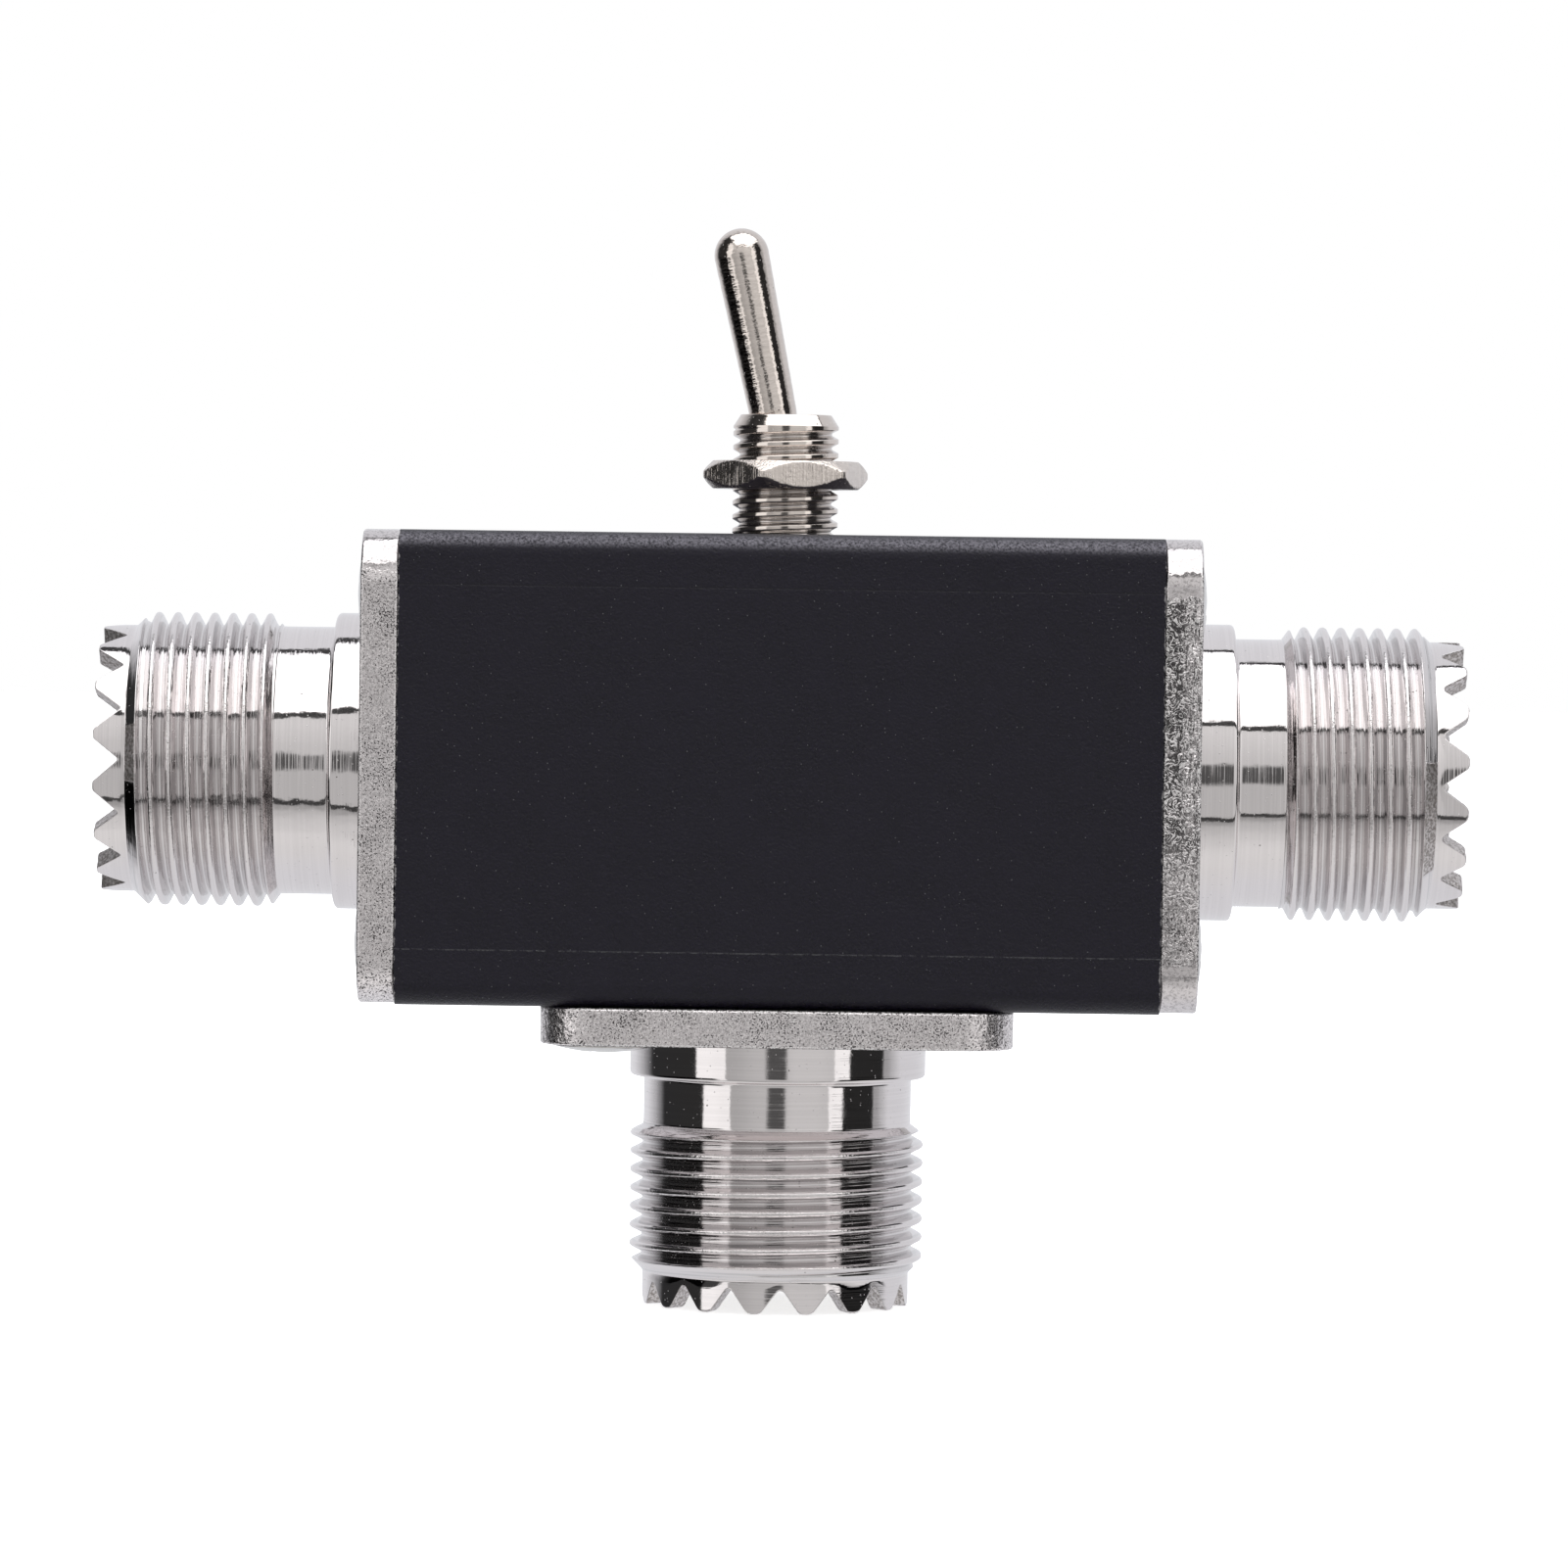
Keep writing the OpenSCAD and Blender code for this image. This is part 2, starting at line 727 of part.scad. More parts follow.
// Rocker: shallow V strip with two ears on the pin, tilted to its rest place
module rocker() {
  end_z = rocker_drop + rocker_half * tan(rocker_rise);
  ear_y = lug_width / 2 + ear_gap;
  color(silver)
  translate([0, 0, rocker_pin_z])
    rotate([0, rocker_tilt, 0])
      difference() {
        union() {
          translate([0, rocker_width / 2, 0])
            rotate([90, 0, 0])
              linear_extrude(rocker_width)
                polygon([
                  [-rocker_half, end_z],
                  [0, rocker_drop],
                  [rocker_half, end_z],
                  [rocker_half, end_z + rocker_rim],
                  [0, rocker_drop + rocker_rim],
                  [-rocker_half, end_z + rocker_rim]
                ]);
          for (y = [-ear_y - ear_t, ear_y])
            translate([0, y + ear_t, 0])
              rotate([90, 0, 0]) {
                cylinder(d = ear_d, h = ear_t);
                translate([-ear_d / 2, 0, 0]) cube([ear_d, rocker_drop + rocker_rim / 2, ear_t]);
              }
        }
        translate([0, rocker_width, 0])
          rotate([90, 0, 0]) cylinder(d = rocker_pin_d + 2 * pin_gap, h = 2 * rocker_width);
      }
}

// Middle line of a bent wire in the XZ plane, from the origin along +X, as [x, z, heading].
// Each step is [straight length, turn in degrees, bend radius].
function route(steps, x = 0, z = 0, a = 0, i = 0) =
  i == len(steps) ? [] :
  let (
    turn = steps[i][1],
    side_r = sign(turn) * steps[i][2],
    x1 = x + steps[i][0] * cos(a),
    z1 = z + steps[i][0] * sin(a),
    bend = [
      for (k = [1 : turn == 0 ? 0 : bend_steps])
        let (h = a + turn * k / bend_steps)
          [x1 + side_r * (sin(h) - sin(a)), z1 + side_r * (cos(a) - cos(h)), h]
    ],
    end = len(bend) > 0 ? bend[len(bend) - 1] : [x1, z1, a]
  )
    concat([[x1, z1, a]], bend, route(steps, end[0], end[1], end[2], i + 1));

function wire_rings(steps, d) = [
  for (p = concat([[0, 0, 0]], route(steps)))
    [
      for (j = [0 : wire_sides - 1])
        let (b = 360 * j / wire_sides)
          [p[0] - d / 2 * cos(b) * sin(p[2]), d / 2 * sin(b), p[1] + d / 2 * cos(b) * cos(p[2])]
    ]
];

// Side wire: out of the cup, down in an S bend and through the lug's hole
module side_wire() {
  color(steel)
  translate([wire_start_x, 0, axis_z])
    rotate([0, 0, 180])
      skin(wire_rings([
        [wire_lead, -wire_turn, wire_bend],
        [wire_middle, wire_turn, wire_bend],
        [wire_tail, 0, 0]
      ], wire_d));
}
module wire_right() { side_wire(); }
module wire_left() { mirror([1, 0, 0]) side_wire(); }

// Insulation over the middle of a side wire, with the wire's own bends
module side_sleeve() {
  bare = wire_in_cup + wire_bare;
  steps = [
    [wire_lead - bare, -wire_turn, wire_bend],
    [wire_middle, wire_turn, wire_bend],
    [wire_tail - lug_t - lug_wire_past - wire_bare, 0, 0]
  ];
  outer = wire_rings(steps, sleeve_d);
  inner = wire_rings(steps, wire_d + seat_gap);
  color(red)
  translate([wire_start_x - bare, 0, axis_z])
    rotate([0, 0, 180])
      skin(concat(outer, [for (i = [len(inner) - 1 : -1 : 0]) inner[i]]), closed = true);
}
module sleeve_right() { side_sleeve(); }
module sleeve_left() { mirror([1, 0, 0]) side_sleeve(); }

// Bottom wire: up out of the cup, aside in an S bend and hooked through the common lug
module wire_bottom() {
  start_z = socket_reach - contact_back - wire_in_cup;
  run_x = lug_t / 2 + hook_gap + hook_bend;
  slant_side = (run_x - 2 * hook_bend * (1 - cos(hook_slant))) / sin(hook_slant);
  slant_up = 2 * hook_bend * sin(hook_slant) + slant_side * cos(hook_slant);
  first_up = wire_in_cup + hook_bend / 2;
  second_up = lug_hole_z - hook_bend - start_z - first_up - slant_up;
  color(steel)
  translate([0, 0, start_z])
    rotate([0, -90, 0])
      skin(wire_rings([
        [first_up, -hook_slant, hook_bend],
        [slant_side, hook_slant, hook_bend],
        [second_up, 90, hook_bend],
        [hook_gap + lug_t + lug_wire_past, 0, 0]
      ], wire_d));
}

housing();
flange_left();
flange_right();
flange_bottom();
barrel_left();
barrel_right();
barrel_bottom();
insulator_left();
insulator_right();
insulator_bottom();
contact_left();
contact_right();
contact_bottom();
screws_left();
screws_right();
screws_bottom();
bushing();
outer_nut();
lock_washer();
lever();
lever_pin();
plunger();
plunger_spring();
switch_frame();
switch_base();
terminal_common();
terminal_left();
terminal_right();
rocker();
rocker_pin();
wire_left();
wire_right();
wire_bottom();
sleeve_left();
sleeve_right();
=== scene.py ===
"""Looks of the coaxial antenna switch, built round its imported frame.

Lengths inside the shape functions are in millimetres. A socket's own frame starts on the outer
face of its flange and runs along +Z, out to the rim.
"""

import json
import math

import bmesh
import bpy
import numpy as np
from bpy.props import FloatProperty, FloatVectorProperty, IntProperty, PointerProperty
from mathutils import Matrix, Vector

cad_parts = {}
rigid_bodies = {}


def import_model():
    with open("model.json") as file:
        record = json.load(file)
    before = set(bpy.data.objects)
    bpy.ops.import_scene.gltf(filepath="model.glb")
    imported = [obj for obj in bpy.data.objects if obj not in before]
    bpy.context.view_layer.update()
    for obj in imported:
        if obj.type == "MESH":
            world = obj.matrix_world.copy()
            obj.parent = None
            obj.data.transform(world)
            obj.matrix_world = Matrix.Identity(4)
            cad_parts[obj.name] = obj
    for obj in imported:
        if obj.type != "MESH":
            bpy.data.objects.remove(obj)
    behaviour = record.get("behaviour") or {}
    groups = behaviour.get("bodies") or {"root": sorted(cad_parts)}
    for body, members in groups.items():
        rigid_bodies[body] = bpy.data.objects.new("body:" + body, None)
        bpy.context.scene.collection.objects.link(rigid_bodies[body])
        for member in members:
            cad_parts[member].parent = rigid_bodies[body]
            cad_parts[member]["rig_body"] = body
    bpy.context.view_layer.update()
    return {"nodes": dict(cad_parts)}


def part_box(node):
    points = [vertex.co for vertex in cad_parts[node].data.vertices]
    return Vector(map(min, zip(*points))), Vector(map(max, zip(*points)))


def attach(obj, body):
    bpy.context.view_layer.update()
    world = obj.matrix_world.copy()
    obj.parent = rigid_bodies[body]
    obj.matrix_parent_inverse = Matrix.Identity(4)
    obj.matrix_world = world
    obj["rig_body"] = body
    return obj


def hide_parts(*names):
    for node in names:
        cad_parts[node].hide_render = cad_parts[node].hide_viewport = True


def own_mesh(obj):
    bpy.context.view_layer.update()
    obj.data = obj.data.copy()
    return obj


bl_info = {
    "name": "Coaxial Antenna Switch",
    "version": (1, 0, 0),
    "blender": (4, 5, 0),
    "location": "3D View > Sidebar > Antenna Switch",
    "description": "Dresses the square-tube coaxial switch in turned, tumbled and anodised metal",
    "category": "Add Mesh",
}

MM = 0.001
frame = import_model()
nodes = frame["nodes"]


def reach(node, axis, end):
    """Lowest (end 0) or highest (end 1) place of a CAD node along an axis, in millimetres."""
    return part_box(node)[end][axis] / MM


FACE_X = reach("flange_right", 0, 1)
FACE_Z = reach("flange_bottom", 2, 0)
AXIS_Z = (reach("flange_right", 2, 0) + reach("flange_right", 2, 1)) / 2
FLANGE_T = reach("flange_bottom", 2, 1) - FACE_Z
FLANGE_SIDE = reach("flange_right", 1, 1) - reach("flange_right", 1, 0)
SOCKET_REACH = reach("barrel_right", 0, 1) - FACE_X
BUSHING_TOP = reach("bushing", 2, 1)
BUSHING_LOW = reach("bushing", 2, 0)
PIN_Z = (reach("lever_pin", 2, 0) + reach("lever_pin", 2, 1)) / 2
NUT_LOW = reach("outer_nut", 2, 0)
NUT_TOP = reach("outer_nut", 2, 1)
TUBE_TOP = reach("housing", 2, 1)
TUBE_LOW = reach("housing", 2, 0)
TUBE_END = reach("housing", 0, 1)
TUBE_SIDE = reach("housing", 1, 1)

# Where a screw stands from the middle of its flange, how far the lever leans at rest, and how close
# points are, in metres, that become one
SCREW_AT = FLANGE_SIDE / 2 - 3.37
LEAN = math.radians(12)
WELD = 2e-7

# Depth masks of a hole's wall and of a cut that a tool has scuffed. A thread goes from 0 to 1
HOLE_WALL, SCUFFED = 0.6, 1.6


# ---- Property groups


class SwitchSizes(bpy.types.PropertyGroup):
    """Sizes of the details that the solids leave out"""

    thread_pitch: FloatProperty(
        name="Socket thread pitch", description="Distance from crest to crest on the sockets",
        default=1 * MM, min=0.5 * MM, max=2 * MM, unit="LENGTH", precision=5)
    thread_depth: FloatProperty(
        name="Socket thread depth", description="How deep the socket's thread is cut",
        default=0.66 * MM, min=0.2 * MM, max=0.9 * MM, unit="LENGTH", precision=5)
    bushing_pitch: FloatProperty(
        name="Bushing thread pitch", description="Distance from crest to crest on the bushing",
        default=0.75 * MM, min=0.4 * MM, max=1 * MM, unit="LENGTH", precision=5)
    bushing_depth: FloatProperty(
        name="Bushing thread depth", description="How deep the bushing's thread is cut",
        default=0.37 * MM, min=0.2 * MM, max=0.5 * MM, unit="LENGTH", precision=5)
    edge_break: FloatProperty(
        name="Edge break", description="Radius left on turned edges",
        default=0.035 * MM, min=0.01 * MM, max=0.1 * MM, unit="LENGTH", precision=6)
    flange_edge: FloatProperty(
        name="Flange edge", description="Radius that tumbling leaves on the flanges' edges",
        default=0.16 * MM, min=0.05 * MM, max=0.4 * MM, unit="LENGTH", precision=5)
    rim_teeth: IntProperty(
        name="Rim teeth", description="Teeth on each socket's rim", default=16, min=8, max=24)


class SwitchColours(bpy.types.PropertyGroup):
    """Colours of the finishes"""

    barrel: FloatVectorProperty(
        name="Bright nickel", description="Plating of the turned barrels", subtype="COLOR",
        size=3, default=(0.80, 0.76, 0.757), min=0, max=1)
    flange: FloatVectorProperty(
        name="Tumbled nickel", description="Plating of the flanges", subtype="COLOR",
        size=3, default=(0.81, 0.765, 0.765), min=0, max=1)
    toggle: FloatVectorProperty(
        name="Warm nickel", description="Plating of the bushing, nut and lever", subtype="COLOR",
        size=3, default=(0.74, 0.67, 0.62), min=0, max=1)
    housing: FloatVectorProperty(
        name="Black anodising", description="Colour of the square tube", subtype="COLOR",
        size=3, default=(0.0030, 0.0019, 0.0075), min=0, max=1)


class SwitchStage(bpy.types.PropertyGroup):
    """Brightness of the studio"""

    overhead: FloatProperty(
        name="Overhead panel", description="Brightness of the panel above", default=1.9,
        min=0, max=5)
    left_panel: FloatProperty(
        name="Left panel", description="Brightness of the panel at the front left", default=1.12,
        min=0, max=5)
    right_panel: FloatProperty(
        name="Right panel", description="Brightness of the narrow panel at the front right",
        default=1.12, min=0, max=5)
    backdrop: FloatProperty(
        name="Backdrop", description="Brightness of the paper behind", default=0.81, min=0, max=5)


# ---- Shapes


def rounded_path(corners, radius, steps=3, hold=0.05):
    """A line through the corners whose turns are arcs.

    Each inner corner gives way to an arc of the radius, or less where its sides are short. The arc
    touches both sides, and one more point is held on each side so that flat faces shade flat.
    """
    corners = np.asarray(corners, float)
    radii = np.broadcast_to(np.asarray(radius, float), len(corners))
    out = [corners[0]]
    for before, here, after, r in zip(corners, corners[1:], corners[2:], radii[1:]):
        back, ahead = before - here, after - here
        lengths = np.hypot(*back), np.hypot(*ahead)
        back, ahead = back / lengths[0], ahead / lengths[1]
        half = math.acos(np.clip(back @ ahead, -1, 1)) / 2
        if r <= 0 or half > math.radians(89):
            out.append(here)
            continue
        cut = min(r / math.tan(half), 0.42 * min(lengths))
        r = cut * math.tan(half)
        middle = here + (back + ahead) / np.hypot(*(back + ahead)) * r / math.sin(half)
        first, last = here + back * cut - middle, here + ahead * cut - middle
        swing = math.atan2(first[0] * last[1] - first[1] * last[0], first @ last)
        angles = math.atan2(first[1], first[0]) + swing * np.linspace(0, 1, steps + 1)
        held = min(hold, 0.3 * min(lengths) - 0.3 * cut)
        if held > 0.004:
            out.append(here + back * (cut + held))
        out.extend(middle + r * np.stack([np.cos(angles), np.sin(angles)], -1))
        if held > 0.004:
            out.append(here + ahead * (cut + held))
    out.append(corners[-1])
    return np.array(out)


def arc_points(x, y, r, start, end, steps):
    """Points (x + r cos a, y + r sin a) for a from start to end, in degrees."""
    a = np.radians(np.linspace(start, end, steps + 1))
    return np.stack([x + r * np.cos(a), y + r * np.sin(a)], -1)


def ring_faces(rows, columns, closed_rows=False, closed_columns=True):
    """Quads of a grid of points: each joins a point to the next in its row and in its column."""
    i = np.arange(rows if closed_rows else rows - 1)[:, None]
    j = np.arange(columns if closed_columns else columns - 1)[None, :]
    i2, j2 = (i + 1) % rows, (j + 1) % columns
    quads = [i * columns + j, i * columns + j2, i2 * columns + j2, i2 * columns + j]
    return np.stack(np.broadcast_arrays(*quads), -1).reshape(-1, 4)


def turned(r, z, turn):
    """Surface of a turned piece: (r cos turn, r sin turn, z) for grids of r, z and turn."""
    r, z, turn = np.broadcast_arrays(r, z, turn)
    return np.stack([r * np.cos(turn), r * np.sin(turn), z], -1)


def thread_drop(along, turn, pitch, start, depth, flat, crest_round, root_round):
    """How far a thread's surface lies under its crest.

    The phase is (along - start) / pitch less the turn in full turns, so the crest is a right-hand
    helix. Across one pitch the height is that of a groove, and the crest keeps a flat of its own.
    """
    phase = (along - start) / pitch - turn / (2 * math.pi)
    gap = pitch * (0.5 - np.abs(phase - np.round(phase)))
    half_gap = (pitch - flat) / 2 - crest_round
    return depth - groove_height(gap, depth, half_gap, crest_round, root_round)


def groove_height(t, depth, half_gap, tooth_round, root_r):
    """Height over a groove's root at a distance t from its middle.

    A small arc at the root, a straight flank that touches it, and an arc that rounds the shoulder
    into the tooth's tip, where the height is the groove's full depth.
    """
    t = np.abs(t)
    flank = math.atan2(half_gap - root_r, depth - root_r)
    x0, y0 = root_r * math.cos(flank), root_r - root_r * math.sin(flank)
    x1 = half_gap + tooth_round - tooth_round * math.cos(flank)
    y1 = depth - tooth_round + tooth_round * math.sin(flank)
    root = root_r - np.sqrt(np.clip(root_r**2 - t**2, 0, None))
    line = y0 + (t - x0) * (y1 - y0) / (x1 - x0)
    over = np.clip(half_gap + tooth_round - t, 0, None)
    shoulder = depth - tooth_round + np.sqrt(np.clip(tooth_round**2 - over**2, 0, None))
    return np.where(t < x0, root, np.where(t < x1, line, shoulder))


def make_piece(name, parts, material, weld=False):
    """Puts grids of points and their faces into one mesh object.

    Each part is (points in the frame, faces, points in the piece's own frame, depth mask). The own
    frame goes into the attribute "place", in millimetres, and the mask into "hollow".
    """
    points, faces, places, hollows, count = [], [], [], [], 0
    for world, quads, own, hollow in parts:
        points.append(world.reshape(-1, 3))
        places.append(own.reshape(-1, 3))
        hollows.append(np.broadcast_to(hollow, world.shape[:-1]).reshape(-1))
        faces.append(quads + count)
        count += len(points[-1])
    mesh = bpy.data.meshes.new(name)
    mesh.from_pydata((np.concatenate(points) * MM).tolist(), [], np.concatenate(faces).tolist())
    place = mesh.attributes.new("place", "FLOAT_VECTOR", "POINT")
    place.data.foreach_set("vector", np.concatenate(places).astype(np.float32).ravel())
    hollow = mesh.attributes.new("hollow", "FLOAT", "POINT")
    hollow.data.foreach_set("value", np.concatenate(hollows).astype(np.float32))
    if weld:
        work = bmesh.new()
        work.from_mesh(mesh)
        bmesh.ops.remove_doubles(work, verts=work.verts, dist=WELD)
        bmesh.ops.dissolve_degenerate(work, edges=work.edges, dist=WELD / 20)
        work.to_mesh(mesh)
        work.free()
    mesh.polygons.foreach_set("use_smooth", np.ones(len(mesh.polygons), bool))
    mesh.materials.append(material)
    mesh.update()
    piece = bpy.data.objects.new(name, mesh)
    bpy.context.scene.collection.objects.link(piece)
    return piece


def level_rows(values, n):
    """Rows of n columns that each hold one of the values."""
    return np.repeat(np.asarray(values, float)[:, None], n, 1)


def lifted(xy, z):
    """Points (x, y, z) from points (x, y) and their heights."""
    return np.concatenate([xy, np.broadcast_to(z, xy.shape[:-1])[..., None]], -1)


def grid_part(surface, place=None):
    """A closed grid as a part of make_piece, put in its place in the frame."""
    own, shape, hollow = surface
    return own if place is None else place(own), ring_faces(*shape, closed_rows=True), own, hollow


def stand_for(piece, node):
    """Shows the piece in place of a CAD node, on its body."""
    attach(piece, nodes[node]["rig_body"])
    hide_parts(node)


def at_left(p):
    """Own frame of the left socket to the frame: out along -X."""
    return np.stack([-FACE_X - p[..., 2], p[..., 1], AXIS_Z + p[..., 0]], -1)


def at_right(p):
    """Own frame of the right socket to the frame: out along +X."""
    return np.stack([FACE_X + p[..., 2], p[..., 1], AXIS_Z - p[..., 0]], -1)


def at_bottom(p):
    """Own frame of the bottom socket to the frame: out along -Z."""
    return np.stack([-p[..., 0], p[..., 1], FACE_Z - p[..., 2]], -1)


# Side: own frame, then how each barrel came out of its tools: turn of the rim in degrees, phase of
# the thread, length of the collar, start of the thread, and depth and both roundings of the grooves
# in the rim. Then the scuffed sector of the cone in degrees, and how strong the tool's marks are
SOCKETS = {
    "left": (at_left, (0.4, 0.65, 1.95, 4.9, 1.38, 0.22, 0.12), (-98, -74), 11.0),
    "right": (at_right, (4.0, 0.50, 2.2, 4.8, 1.3, 0.38, 0.28), (-154, -48), 6.0),
    "bottom": (at_bottom, (-2.7, 0.34, 2.2, 4.75, 1.3, 0.4, 0.28), (-200, -180), 2.6),
}


def barrel_surface(sizes, cut, scuffed, seed):
    """Barrel as one closed grid, its rows along the outline and its columns round the axis.

    The outline runs from the lip behind the flange over collar, neck, thread, cone and rim, then
    back through the stepped bore. The thread is cut into it as a helix that grows shallow on the
    cone, and fine rings lie where it starts. Over the rim the height is that of straight grooves:
    the place across a groove is r times the sine of the turn from it, and each groove strays a
    little from its place and depth.
    """
    pitch, depth, soft = sizes.thread_pitch / MM, sizes.thread_depth / MM, sizes.edge_break / MM
    teeth, end = sizes.rim_teeth, SOCKET_REACH
    rim_turn, thread_at, collar_l, thread_from, groove, tooth_round, root_r = cut
    lip_r, spigot_r, collar_r, neck_r, crest_r = 6.7, 6.0, 8.0, 7.23, 7.925
    rim_r, mouth_r, seat_r, seat_z, bore_z = 7.2, 6.1, 5.0, 4.0, 9.0
    cone_at, cone_end, row_step, tooth_flat, edge = 12.03, 12.78, 0.0345, 0.15, 0.07

    # Turns of the columns: close together in the grooves, wide apart on the teeth
    half_gap = math.pi * rim_r / teeth - tooth_flat - tooth_round
    steps = [0.08, 0.16, 0.28, 0.6] + [half_gap + f * tooth_round for f in (0, 0.3, 0.6, 1)]
    half = np.append(np.arcsin(np.array(steps) / rim_r), math.pi / teeth)
    one = np.concatenate([-half[-2::-1], [0], half])
    first = -math.pi / 2 + math.radians(rim_turn)
    turn = (first + 2 * math.pi / teeth * np.arange(teeth)[:, None] + one).ravel()
    n = len(turn)
    chance = np.random.default_rng(seed)
    stray = np.repeat(chance.uniform(-0.06, 0.06, teeth), len(one))
    deep = groove * np.repeat(chance.uniform(0.93, 1.02, teeth), len(one))
    across = np.tile(one, teeth)
    across = across + stray / rim_r * np.clip(1 - np.abs(across) / half[-2], 0, 1)

    # Outline from the lip to the neck
    back, lip_t = -FLANGE_T - 0.03, 0.85
    low = rounded_path([
        (seat_r, back - 0.6), (seat_r, back - lip_t), (lip_r, back - lip_t), (lip_r, back),
        (spigot_r, back), (spigot_r, 0.0), (collar_r, 0.0), (collar_r, collar_l),
        (neck_r, collar_l), (neck_r, collar_l + 1), (neck_r, thread_from - 0.3)],
        [0] + [soft] * 6 + [0.22, 0.16, 0, 0], steps=5, hold=0.08)

    # Thread on its cone, row by row: it rises out of the neck, wanders a little and runs out
    along = np.arange(thread_from - 0.25, cone_end, row_step)
    column = along[:, None]
    cone = crest_r - (crest_r - rim_r) / (cone_end - cone_at) * (column - cone_at)
    rise = neck_r + 1.4 * (column - thread_from)
    wander = 0.012 * np.sin(column * 9.0) * np.sin(turn * 3 + 1.0)
    drop = thread_drop(column + wander, turn, pitch, thread_at, depth, 0.0, 0.18, 0.1)
    floor = crest_r - depth + 0.3 * np.clip((column - 11.7) / 0.9, 0, 1) ** 1.4
    thread = np.minimum(np.minimum(rise, cone), np.maximum(crest_r - drop, floor))
    rings = 0.014 * np.maximum(0, np.sin((column - thread_from) * 2 * math.pi / 0.13))
    rings = rings * (np.abs(column - thread_from - 0.05) < 0.2)
    thread = np.maximum(thread, np.minimum(neck_r + rings, cone))

    def top(r):
        return end - deep + deep / groove * groove_height(r * np.sin(across), groove, half_gap,
                                                          tooth_round, root_r)

    # Rim: outer wall, tops of the teeth from outside in, inner wall, and the bore below it
    rim_low, wall_top = cone_end + 0.03, top(rim_r) - edge
    rises = np.array([0.0, 0.3, 0.7, 1.0])[:, None]
    wall_z = np.vstack([rim_low + rises * (wall_top - 0.045 - rim_low), wall_top])
    radii = [rim_r - 0.018, rim_r - edge, rim_r - 0.16, 6.9, 6.6, 6.3, mouth_r + 0.14,
             mouth_r + edge, mouth_r + 0.018]
    drops = [edge * 0.3] + [0] * 7 + [edge * 0.3]
    top_z = np.array([top(r) - d for r, d in zip(radii, drops)])
    inner_top = top(mouth_r) - edge
    inner_z = inner_top - np.array([0.0, 0.06, 0.3, 0.7, 1.0])[:, None] * (inner_top - bore_z)
    bore = rounded_path([(mouth_r, bore_z), (mouth_r, seat_z), (seat_r, seat_z),
                         (seat_r, back - 0.6)], [0, 0.03, 0.03, 0])[1:-1]

    r = np.concatenate([level_rows(low[:, 0], n), thread, level_rows([rim_r] * len(wall_z), n),
                        level_rows(radii, n), level_rows([mouth_r] * len(inner_z), n),
                        level_rows(bore[:, 0], n)])
    z = np.concatenate([level_rows(low[:, 1], n), level_rows(along, n), wall_z, top_z, inner_z,
                        level_rows(bore[:, 1], n)])

    # Depth mask: thread less its worn crests, the scuffed sector of the cone, teeth and bore
    hollow = np.zeros_like(r)
    a, b, c, d = np.cumsum([len(low), len(along), len(wall_z), len(radii)])
    worn = np.clip(1 - drop / 0.06, 0, 1) * (thread > crest_r - 0.07)
    hollow[a:b] = np.clip(drop / depth, 0, 1) * (thread > neck_r + 0.03) - worn
    sector = np.abs(np.degrees(turn) - sum(scuffed) / 2) < (scuffed[1] - scuffed[0]) / 2
    scuff = (thread >= cone - 0.002) * sector * (column > cone_at)
    hollow[a:b] = np.where(scuff, SCUFFED, hollow[a:b])
    hollow[c:d] = SCUFFED
    hollow[d + 1:] = 1.0
    return turned(r, z, turn), r.shape, hollow


